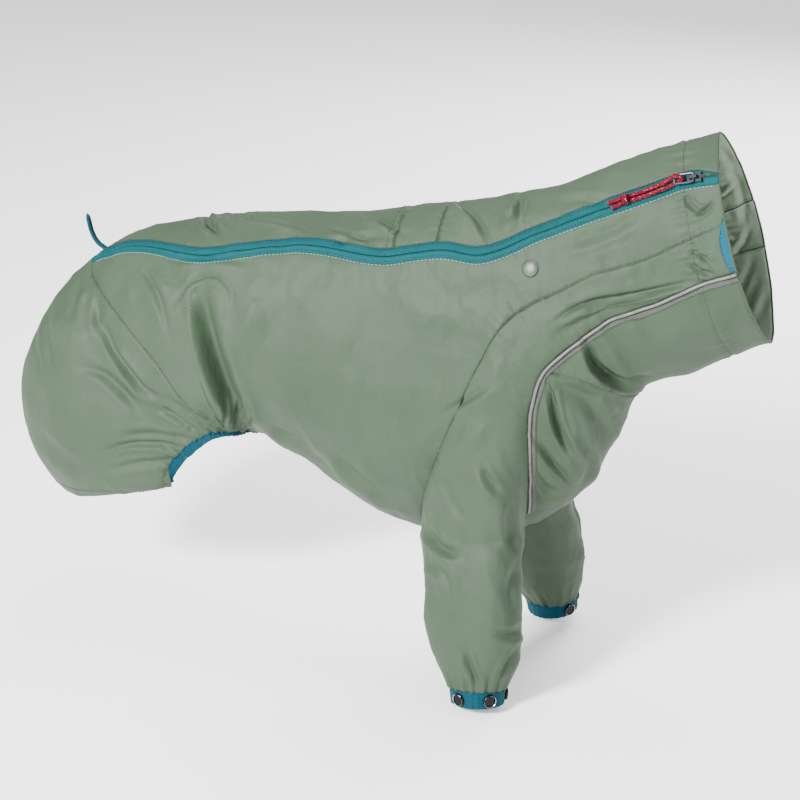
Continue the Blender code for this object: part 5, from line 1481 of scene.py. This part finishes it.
def merged(name, parts):
    """Several pieces joined into one object."""
    for thing in bpy.context.selected_objects:
        thing.select_set(False)
    for thing in parts:
        thing.select_set(True)
    bpy.context.view_layer.objects.active = parts[0]
    bpy.ops.object.join()
    parts[0].name = name
    parts[0].select_set(False)
    return parts[0]


# ---- zip ----
# the tape's section: mm from the zip's middle, and lift; it rises over the coil below it
TAPE_LINES = ((0.06, -1.15), (0.5, -0.75), (1.1, -0.22), (2.2, -0.18), (3.2, -0.5),
              (5.4, -TAPE_SINK), (ZIP_WIDTH / 2 + 0.2, -TAPE_SINK))


def make_zip():
    """Two tapes that part above the slider, and the coil under them where they are closed."""
    rows = row_steps(0.0, BACK_END)
    right = [(zip_edge(rows, offset), lift) for offset, lift in TAPE_LINES]
    tape_right = strip_piece("zip_tape_lower", rows, right, TAPE, TAPE_WALL)
    carried(tape_right, "zip_tape_right")
    inner, outer = left_tape_inner(rows), upper_tape_edge(rows)
    left = []
    for offset, lift in reversed(TAPE_LINES):
        part = offset / (ZIP_WIDTH / 2)
        left.append((inner + (outer - inner) * part, lift))
    tape_left = strip_piece("zip_tape_upper", rows, left, TAPE, TAPE_WALL)
    carried(tape_left, "zip_tape_left")
    teeth = tooth_row("zip_coil_teeth", row_steps(SLIDER_AT, BACK_END - 0.05), -TAPE_WALL - 1.2)
    carried(teeth, "zip_coil")


def tooth_row(name, rows, lift):
    """The coil under the tape: one turn of it for each tooth."""
    pitch = 1.7
    size = (1.15, 4.2, 1.3)
    bpy.ops.mesh.primitive_cube_add(size=1.0)
    tooth = bpy.context.object
    bpy.ops.object.mode_set(mode="EDIT")
    bpy.ops.transform.resize(value=size)
    bpy.ops.mesh.select_all(action="SELECT")
    bpy.ops.mesh.bevel(offset=0.3, segments=1)
    bpy.ops.object.mode_set(mode="OBJECT")
    shape, facets = mesh_arrays(tooth)
    points, normals = cloth_line(rows, zip_centre(rows), lift)
    return copies_along(name, shape, facets, points, normals, pitch, COIL)


def mesh_arrays(thing):
    """The points and facets of an object, which is then removed."""
    points = np.array([vertex.co for vertex in thing.data.vertices])
    facets = [tuple(polygon.vertices) for polygon in thing.data.polygons]
    bpy.data.objects.remove(thing)
    return points, facets


def cloth_line(rows, angles, lift, left=False, soft=False):
    """Points and normals along a line on the cloth, lifted off it."""
    rows, angles = np.broadcast_arrays(rows, angles)
    points, normals = body(rows, angles)
    if left:
        points, normals = left_pose(points * LEFT), normals * LEFT
    height = soft_relief(points, normals) if soft else relief(points, normals)
    return points + normals * (height + lift)[:, None], normals


def copies_along(name, shape, facets, points, normals, pitch, material, sway=0.0):
    """Copies of a small shape along a line: its X along, its Z up from the cloth. With a sway,
    in radians, they turn to one side and the other by turns."""
    run = distances(points)
    marks = np.arange(pitch / 2, run[-1], pitch)
    spots = np.stack([np.interp(marks, run, points[:, axis]) for axis in range(3)], axis=1)
    ups = np.stack([np.interp(marks, run, normals[:, axis]) for axis in range(3)], axis=1)
    ahead = unit(np.gradient(spots, axis=0))
    ups = unit(ups - ahead * (ups * ahead).sum(axis=1, keepdims=True))
    across = np.cross(ups, ahead)
    if sway:
        turn = np.where(np.arange(len(marks)) % 2, sway, -sway)
        ahead, across = (ahead * np.cos(turn)[:, None] + across * np.sin(turn)[:, None],
                         across * np.cos(turn)[:, None] - ahead * np.sin(turn)[:, None])
    placed = (spots[:, None] + shape[None, :, 0:1] * ahead[:, None]
              + shape[None, :, 1:2] * across[:, None] + shape[None, :, 2:3] * ups[:, None])
    count = len(shape)
    whole = [tuple(number + copy * count for number in facet)
             for copy in range(len(marks)) for facet in facets]
    return new_mesh(name, placed.reshape(-1, 3), whole, (material,))


# ---- stitches ----
def stitch_shape(long, thick):
    """One stitch: a short piece of thread that dips into the cloth at both ends."""
    bpy.ops.mesh.primitive_uv_sphere_add(segments=6, ring_count=4, radius=1.0)
    stitch = bpy.context.object
    bpy.ops.object.mode_set(mode="EDIT")
    bpy.ops.mesh.select_all(action="SELECT")
    bpy.ops.transform.resize(value=(long / 2, thick, thick))
    bpy.ops.object.mode_set(mode="OBJECT")
    return mesh_arrays(stitch)


def seam_stitches():
    """Rows of stitches, each as section numbers, angles, and whether it is on both sides."""
    lines = []
    places = np.linspace(0.6, RAGLAN_LAST, 260)
    line = spline_rows(RAGLAN, places)
    lines.append((line[:, 0], line[:, 1] - degrees_for(line[:, 0], line[:, 1], 2.0), True))
    for gap in (1.9, 6.2):
        rows = np.linspace(THIGH_FIRST + 0.4, BACK_END, 160)
        angles = line_angles(THIGH_LINE, rows)
        lines.append((rows, angles - degrees_for(rows, angles, gap), True))
    rows = np.linspace(YOKE_START, YOKE_SIDE - 0.15, 90)
    lines.append((rows + 0.05, line_angles(YOKE_LINE, rows), True))
    for row in (CROSS_SEAM_REAR + 0.05, CROSS_SEAM_REAR + 0.17, CROSS_SEAM_FRONT - 0.05):
        angles = np.linspace(-float(zip_centre(row)) + 2, float(upper_tape_edge(row)) - 1, 110)
        lines.append((np.full(110, row), angles, False))
    rows = np.linspace(0.8, BACK_END, 380)
    lines.append((rows, -zip_centre(rows) + degrees_for(rows, zip_centre(rows), 2.0), False))
    rows = np.linspace(BINDING_END, HEM_ROW - 0.3, 90)
    lines.append((rows, hind_hem(rows) - degrees_for(rows, open_edge(rows), 9.0), True))
    rows = np.linspace(BELLY_END + 0.3, BINDING_END - 0.3, 260)
    lines.append((rows, belly_edge(rows) - degrees_for(rows, open_edge(rows), 1.8), True))
    for start, end, both in ((float(zip_edge(1.0, ZIP_WIDTH / 2 + 1)), 180.0, False),
                             (-float(zip_centre(1.0)), float(upper_tape_edge(1.0)) - 1, False),
                             (-180.0, -float(zip_centre(1.0)), False)):
        lines.append((np.full(200, 1.0), np.linspace(start, end, 200), both))
    angles = np.linspace(2.0, 146.0, 150)
    lines.append((hem_corner(np.full(150, HEM_ROW), angles) - 0.35, angles, True))
    return lines


def stitch_rows(name, lines, material, long, pitch, thick, lift, sway=0.0):
    """Rows of stitches as one piece; their length, pitch, thickness and lift are in mm."""
    shape, facets = stitch_shape(long, thick)
    parts = []
    for number, (rows, angles, both) in enumerate(lines):
        for left in ((False, True) if both else (False,)):
            points, normals = cloth_line(rows, angles, lift, left)
            parts.append(copies_along("%s_%d_%d" % (name, number, left), shape, facets, points,
                                      normals, pitch, material, sway))
    return merged(name, parts)


def make_stitches():
    """Thread along the seams, beside the zip, and over its tapes where the coil is sewn on."""
    thread = stitch_rows("seam_stitches", seam_stitches(), SAGE_THREAD, 2.7, 3.5, 0.4, 0.2)
    carried(thread)
    rows = np.linspace(0.15, BACK_END - 0.1, 420)
    pale = stitch_rows("zip_lower_stitches", [(rows, zip_edge(rows, ZIP_WIDTH / 2 + 0.9), False)],
                       PALE_THREAD, 3.4, 3.8, 0.45, 0.2)
    carried(pale)
    rows = np.linspace(0.75, BACK_END - 0.1, 420)
    dark = stitch_rows("zip_upper_stitches", [(rows, zip_edge(rows, -ZIP_WIDTH / 2 - 0.6), False)],
                       DARK_THREAD, 2.6, 2.4, 0.5, 0.35, 0.5)
    carried(dark)
    coil = stitch_rows("zip_coil_stitches",
                       [(rows, zip_edge(rows, side), False) for side in (1.5, -1.5, 5.2, -5.2)],
                       DARK_THREAD, 1.9, 2.9, 0.45, 0.05)
    carried(coil)


# ---- trims on the cloth ----
def make_binding(side):
    """Elastic binding folded over the groin's edge; it draws the cloth into pleats."""
    left = side == "left"
    rows = np.linspace(BELLY_END + 0.02, BINDING_END - 0.02, 420)
    grow = np.clip((rows - BELLY_END) / BINDING_RUN, 0.0, 1.0)
    taper = np.clip((BINDING_END - rows) / BINDING_TAPER, 0.04, 1.0)
    wide = binding_angle(rows) * (BINDING_START + (1 - BINDING_START) * grow) * taper
    edge = open_edge(rows)
    lines = []
    for part, lift in ((1.16, -0.6), (1.12, 0.5), (1.0, 0.8), (0.8, 1.0), (0.55, 1.05), (0.3, 1.05),
                       (0.1, 0.8), (0.0, 0.0)):
        points, normals = body(rows, edge - wide * part)
        if left:
            points, normals = left_pose(points * LEFT), normals * LEFT
        run = distances(points)
        gather = 0.45 * np.sin(run * 1.25 + 1.4 * np.sin(run * 0.21)) * (0.4 + part)
        height = soft_relief(points, normals)
        if part > 0.9:
            height = relief(points, normals)
        lines.append(points + normals * (height + lift + gather)[:, None])
    if left:
        lines = lines[::-1]
    return grid_piece("groin_elastic_" + side, np.stack(lines, axis=1), ELASTIC, WALL + 0.5)


def grid_piece(name, grid, material, wall):
    """A closed strip from a grid of points, with a map along and across it in mm."""
    facets = [tuple(facet) for facet in grid_facets(grid.shape[:2]).tolist()]
    flat = grid.reshape(-1, 3)
    normals = facet_normals(flat, facets)
    thing = cloth_piece(name, flat, normals, facets, (material, material), wall)
    along = distances(grid[:, grid.shape[1] // 2])
    widths = distances(grid[grid.shape[0] // 2])
    numbers, wide = np.arange(len(flat)), grid.shape[1]
    add_map(thing, along[numbers // wide], widths[numbers % wide])
    return thing


def add_map(thing, along, across):
    """A map in mm: two numbers for each point of the outer face, and the same for the inner."""
    layer = thing.data.uv_layers.new(name="strip_map")
    numbers = np.zeros(len(thing.data.loops), dtype=np.int64)
    thing.data.loops.foreach_get("vertex_index", numbers)
    spots = np.stack([along, across], axis=1)[numbers % len(along)]
    layer.data.foreach_set("uv", spots.astype(np.float32).ravel())


def strip_piece(name, rows, profile, material, wall):
    """A narrow strip on the cloth; profile holds the angles and the lift of each line across."""
    lines = [cloth_line(rows, angles, lift, soft=True)[0] for angles, lift in profile]
    return grid_piece(name, np.stack(lines, axis=1), material, wall)


def make_gusset():
    """Elastic gusset in the cut-back right collar edge."""
    count = 90
    angles = np.linspace(NOTCH_START + 2.0, NOTCH_END - 1.0, count)
    deep = cut_back(np.zeros(count), angles)
    lines = []
    for part in np.linspace(0.0, 1.0, 7):
        points, normals = body(deep * part, angles)
        wave = 0.25 * np.sin(np.arange(count) * 1.1)
        lines.append(points + normals * (soft_relief(points, normals) - 0.3 + wave)[:, None])
    return grid_piece("collar_gusset_elastic", np.stack(lines, axis=0), GUSSET, WALL)


def make_collar_rim():
    """The collar's turned edge, rolled over a fine cord."""
    pieces = []
    runs = ((float(zip_edge(0.0, ZIP_WIDTH / 2)), 180.0, False, True),
            (float(zip_centre(0.0)), 180.0, True, False),
            (-float(zip_centre(0.0)), float(upper_tape_edge(0.0)), False, False),
            (NOTCH_START + 1.5, NOTCH_END - 1.0, False, False))
    for number, (start, end, left, cut) in enumerate(runs):
        angles = np.linspace(start, end, 220)
        rows = cut_back(np.zeros(220), angles) if cut else np.zeros(220)
        points = cloth_line(rows, angles, -0.55, left)[0]
        pieces.append(tube_piece("collar_rim_%d" % number, points, 1.05, SAGE, 10))
    return merged("collar_rolled_edge", pieces)


# the flange's section: part of the way from the seam to its outer edge, and lift in mm
FLANGE_LINES = ((0.3, 0.3), (0.34, 0.75), (0.65, 0.8), (0.97, 0.75), (1.0, 0.2))


def make_flange(side):
    """The stitched grey strip beside the piping, on the throat and then the chest."""
    left = side == "left"
    places = np.linspace(0.0, RAGLAN_LAST, 300)
    line = spline_rows(RAGLAN, places)
    out_rows, out_angles = flange_outer(places)

    def along_it(part, lift):
        rows = line[:, 2] + (out_rows - line[:, 2]) * part
        angles = line[:, 3] + (out_angles - line[:, 3]) * part
        return cloth_line(rows, angles, lift, left, soft=True)

    lines = [along_it(part, lift)[0] for part, lift in FLANGE_LINES]
    if left:
        lines = lines[::-1]
    flange = grid_piece("piping_tape_" + side, np.stack(lines, axis=1), FLANGE, FLANGE_WALL)
    carried(flange, "piping_flange_" + side)
    shape, facets = stitch_shape(2.4, 0.3)
    parts = []
    for number, part in enumerate((0.5, 0.88)):
        points, normals = along_it(part, 0.86)
        parts.append(copies_along("flange_row_%d" % number, shape, facets, points, normals, 3.1,
                                  SAGE_THREAD))
    thread = merged("piping_stitches_" + side, parts)
    carried(thread)


def make_piping(side):
    """The silver bead on the front seam, from the collar edge to the armpit."""
    left = side == "left"
    places = np.linspace(0.0, RAGLAN_LAST, 240)
    line = spline_rows(RAGLAN, places)
    edge, front = body(line[:, 2], line[:, 3])
    run = unit(np.gradient(edge, axis=0))
    eighth = np.array([1 - 1 / 8.0])    # an eighth of the shoulder away from the seam
    beside = raglan_points(places, eighth, False)[0][:, 0] - edge
    sleeve = unit(np.cross(beside, run))
    together = np.minimum((sleeve * front).sum(axis=1), 1.0)
    offset = (sleeve + front) * ((PIPING_RADIUS + 0.1) / (1.0 + together))[:, None]
    points = edge + offset
    normals = unit(offset)
    if left:
        points, normals = left_pose(points * LEFT), normals * LEFT
    points = points + normals * soft_relief(points, normals)[:, None]
    bead = tube_piece("piping_bead_" + side, points, PIPING_RADIUS, PIPING, 10)
    carried(bead, "piping_" + side)


# the cuff's section: part of the way down it, from inside the sleeve's end to its lower edge, and
# lift in mm
CUFF_LINES = ((-0.26, -2.9), (-0.2, -2.4), (-0.04, -0.9), (0.04, 0.2), (0.1, 0.35), (0.3, 0.3),
              (0.5, 0.25), (0.7, 0.3), (0.9, 0.35), (0.985, 0.1), (1.0, -0.5))
CUFF_HIGH = 15.0  # in its map, mm down the cuff
CUFF_STEP = 0.85  # in its map, mm round it for each step
CUFF_STEPS = 180


def make_cuff(side):
    """A wide elastic band below the sleeve, ribbed along its length, with a soft waved edge."""
    left = side == "left"
    top, low = len(SLEEVE) - 2, len(SLEEVE) - 1
    turns = np.linspace(180.0, -180.0, CUFF_STEPS + 1)[:-1]
    upper = sleeve_ring(top, turns, CUFF_PROUD) + sleeve_axis(top) * SEAM_GAP
    lower = sleeve_ring(low, turns, CUFF_PROUD)
    angle = np.radians(turns)
    ripple = (np.sin(23 * angle + 1.3 * np.sin(4 * angle)) + 0.5 * np.sin(37 * angle))
    lines = []
    for part, lift in CUFF_LINES:
        ring = upper * (1 - part) + lower * part
        centre = ring.mean(axis=0)
        out = unit(ring - centre)
        wavy = 0.28 * ripple * (0.5 + abs(part - 0.5)) + 0.12 * np.sin(90 * angle)
        lines.append(ring + out * (lift + wavy)[:, None])
    grid = np.stack(lines, axis=0)
    if left:
        grid = grid * LEFT + LEFT_SLEEVE_SHIFT
        grid = grid[:, ::-1]
    facets = [tuple(facet) for facet in grid_facets(grid.shape[:2], True).tolist()]
    flat = grid.reshape(-1, 3)
    normals = facet_normals(flat, facets)
    cuff = cloth_piece("cuff_elastic_" + side, flat, normals, facets, (ELASTIC, ELASTIC), CUFF_WALL)
    numbers = np.arange(len(flat))
    down = CUFF_HIGH * np.array([part for part, lift in CUFF_LINES])
    add_map(cuff, (numbers % CUFF_STEPS) * CUFF_STEP, down[numbers // CUFF_STEPS])
    carried(cuff, "cuff_" + side)


# ---- press studs ----
def select_top(thing, height):
    """Select the one face that looks up at a height."""
    mesh = bmesh.from_edit_mesh(thing.data)
    for face in mesh.faces:
        face.select = face.normal.z > 0.9 and abs(face.calc_center_median().z - height) < 0.01
    bmesh.update_edit_mesh(thing.data)


def shaped_disc(radius, wall, steps):
    """A turned disc: each step insets its top face and then raises or sinks it, all in mm."""
    bpy.ops.object.select_all(action="DESELECT")
    bpy.ops.mesh.primitive_cylinder_add(vertices=48, radius=radius, depth=wall,
                                        location=(0.0, 0.0, wall / 2))
    disc = bpy.context.object
    bpy.ops.object.transform_apply(location=True)
    bpy.ops.object.mode_set(mode="EDIT")
    bpy.ops.mesh.select_mode(type="FACE")
    height = wall
    for inset, rise in steps:
        select_top(disc, height)
        bpy.ops.mesh.inset(thickness=inset)
        bpy.ops.transform.translate(value=(0.0, 0.0, rise))
        height += rise
    bpy.ops.object.mode_set(mode="OBJECT")
    bevel = disc.modifiers.new("soft_edges", "BEVEL")
    bevel.width = 0.16
    bevel.segments = 2
    bevel.limit_method = "ANGLE"
    bpy.ops.object.modifier_apply(modifier=bevel.name)
    bpy.ops.object.shade_smooth_by_angle(angle=math.radians(40))
    return disc


def put(thing, centre, normal):
    """Move a finished shape's mesh from mm at the origin to its place, its Z along a normal."""
    turn = Vector(normal).to_track_quat("Z", "Y").to_matrix().to_4x4()
    thing.data.transform(Matrix.Translation(Vector(centre) * MM) @ turn @ Matrix.Scale(MM, 4))
    thing.data.update()


RING_STEPS = ((0.3, 0.6), (0.4, 0.5), (1.7, 0.0), (0.4, -0.6), (0.2, -0.9), (0.8, 0.0),
              (0.3, 0.35), (0.7, 0.1))
HIGHLIGHT_FROM = RING_SNAP / 2 - 2.5  # the painted highlight on the raised ring lies between these radii, this high
HIGHLIGHT_TO = RING_SNAP / 2 - 0.65
HIGHLIGHT_ABOVE = 1.6


def make_ring_snaps():
    """Press studs on the cuffs: a raised ring with a painted highlight round a dark sunk socket."""
    pattern = shaped_disc(RING_SNAP / 2, 1.1, RING_STEPS)
    pattern.data.materials.append(GUNMETAL)
    pattern.data.materials.append(HIGHLIGHT_RING)
    # faces of the raised ring within these radii take the painted highlight
    for polygon in pattern.data.polygons:
        away = math.hypot(*polygon.center[:2])
        polygon.material_index = int(HIGHLIGHT_FROM < away < HIGHLIGHT_TO
                                     and polygon.center.z > HIGHLIGHT_ABOVE)
    low = len(SLEEVE) - 1
    top = low - 1
    ahead, outward = across_sleeve(top)
    start = SLEEVE[top, :3] + sleeve_axis(top) * SEAM_GAP
    end = SLEEVE[low, :3]
    half_long = (SLEEVE[top, 3] + SLEEVE[low, 3]) / 2 + CUFF_PROUD
    half_wide = (SLEEVE[top, 4] + SLEEVE[low, 4]) / 2 + CUFF_PROUD
    taper = (SLEEVE[top, 3] - SLEEVE[low, 3]) / np.linalg.norm(end - start)
    for side, flip, move in (("right", LEFT * LEFT, 0.0), ("left", LEFT, 1.0)):
        for number, turn in enumerate(CUFF_SNAPS):
            sine, cosine = math.sin(math.radians(turn)), math.cos(math.radians(turn))
            spot = ahead * half_long * sine + outward * half_wide * cosine
            normal = unit(ahead * sine / half_long + outward * cosine / half_wide)
            normal = unit(normal + sleeve_axis(low) * taper)
            centre = (start + end) / 2 + spot + normal * (SNAP_GAP - 0.1)
            label = "%s_%d" % (side, number + 1)
            snap = bpy.data.objects.new("ring_snap_" + label, pattern.data.copy())
            bpy.context.scene.collection.objects.link(snap)
            put(snap, centre * flip + LEFT_SLEEVE_SHIFT * move, normal * flip)
            carried(snap, "cuff_snap_" + label)
    bpy.data.objects.remove(pattern)


CAP_STEPS = ((0.4, 0.45), (0.9, 0.65), (1.6, 0.55), (2.2, 0.2), (1.0, 0.03))


def make_body_snap():
    """The cap snap on the shoulder, and the thin dark seat that shows round it."""
    cap = shaped_disc(CAP_SNAP / 2, 0.75, CAP_STEPS)
    cap.name = "shoulder_snap_cap"
    cap.data.materials.append(CAP_PAINT)
    point, normal = body(*BODY_SNAP_AT)
    lift = float(soft_relief(point[None], normal[None])[0])
    put(cap, point + normal * (lift * 0.5 + 0.35), normal)
    carried(cap, "body_snap")
    rim = shaped_disc(CAP_SNAP / 2 + 0.7, 0.3, ((0.3, 0.1),))
    rim.name = "shoulder_snap_seat"
    rim.data.materials.append(GUNMETAL)
    put(rim, point + normal * (lift * 0.5 + 0.05), normal)
    carried(rim)


# ---- light and floor ----
FLOOR_Z = -450.4  # mm, under the right cuff
FLOOR_HALF = 9.0  # metres
FLOOR_GLOW = 0.4  # a white sweep lit from below, so that it stays pale round the suit


def make_stage():
    """A pale floor, a white room, and four soft lights: place and target, size and power."""
    bpy.ops.mesh.primitive_plane_add(size=2 * FLOOR_HALF, location=(0.0, 0.0, FLOOR_Z * MM))
    floor = bpy.context.object
    floor.name = "floor"
    bpy.ops.object.transform_apply(location=True)
    material, shader = plain_material("pale_floor", 0.85)
    shader.inputs["Base Color"].default_value = (0.96, 0.96, 0.96, 1.0)
    shader.inputs["Emission Color"].default_value = (1.0, 1.0, 1.0, 1.0)
    shader.inputs["Emission Strength"].default_value = FLOOR_GLOW
    floor.data.materials.append(material)
    world = bpy.data.worlds.new("soft_white_room")
    world.use_nodes = True
    world.node_tree.nodes["Background"].inputs["Color"].default_value = (1.0, 1.0, 1.0, 1.0)
    world.node_tree.nodes["Background"].inputs["Strength"].default_value = 0.62
    bpy.context.scene.world = world
    for name, place, target, size, power in (
            ("softbox_key", (-0.75, -2.2, 1.15), (-0.05, 0.0, -0.2), 0.55, 235.0),
            ("softbox_top", (-0.2, 0.9, 2.2), (-0.1, 0.5, -0.4), 1.6, 52.0),
            ("softbox_fill", (0.3, 2.4, 1.0), (-0.1, 0.0, -0.15), 1.4, 90.0),
            ("softbox_collar", (2.2, -0.3, 0.2), (0.25, 0.0, 0.0), 0.6, 18.0)):
        bpy.ops.object.light_add(type="AREA", location=place)
        lamp = bpy.context.object
        lamp.name = name
        lamp.data.size = size
        lamp.data.energy = power
        lamp.rotation_euler = (Vector(target) - Vector(place)).to_track_quat("-Z", "Y").to_euler()


# ---- the suit ----
def cloth_panel(name, node, blocks, left=False, from_facets=False):
    carried(panel_piece(name, blocks, SAGE, left, from_facets), node)


def make_suit():
    """The eleven cloth panels."""
    cloth_panel("back_front_cloth", "back_front", back_blocks(0.0, CROSS_SEAM_FRONT))
    cloth_panel("back_insert_cloth", "back_insert", back_blocks(CROSS_SEAM_FRONT, CROSS_SEAM_REAR))
    cloth_panel("back_rear_cloth", "back_rear", back_blocks(CROSS_SEAM_REAR, BACK_END))
    cloth_panel("side_cloth_right", "side_right", side_blocks(lower_tape_edge, True))
    cloth_panel("side_cloth_left", "side_left", side_blocks(zip_centre, False), left=True)
    cloth_panel("hind_cloth_right", "hind_right", hind_blocks())
    cloth_panel("hind_cloth_left", "hind_left", hind_blocks(), left=True)
    cloth_panel("sleeve_cloth_right", "sleeve_right", sleeve_blocks(True), from_facets=True)
    cloth_panel("sleeve_cloth_left", "sleeve_left", sleeve_blocks(False), True, True)
    cloth_panel("throat_cloth", "throat", throat_blocks())
    cloth_panel("chest_cloth", "chest", chest_blocks())


make_camera()
make_pull_cord()
make_tail_loop()
make_suit()
make_zip()
for SIDE in ("right", "left"):
    carried(make_binding(SIDE), "groin_binding_" + SIDE)
    make_flange(SIDE)
    make_piping(SIDE)
    make_cuff(SIDE)
carried(make_gusset(), "collar_gusset")
carried(make_collar_rim())
make_stitches()
make_ring_snaps()
make_body_snap()
for NODE, METAL in (("zip_slider", SLIDER), ("pull_frame", STEEL)):
    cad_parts[NODE].data.materials.clear()
    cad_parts[NODE].data.materials.append(METAL)
make_stage()
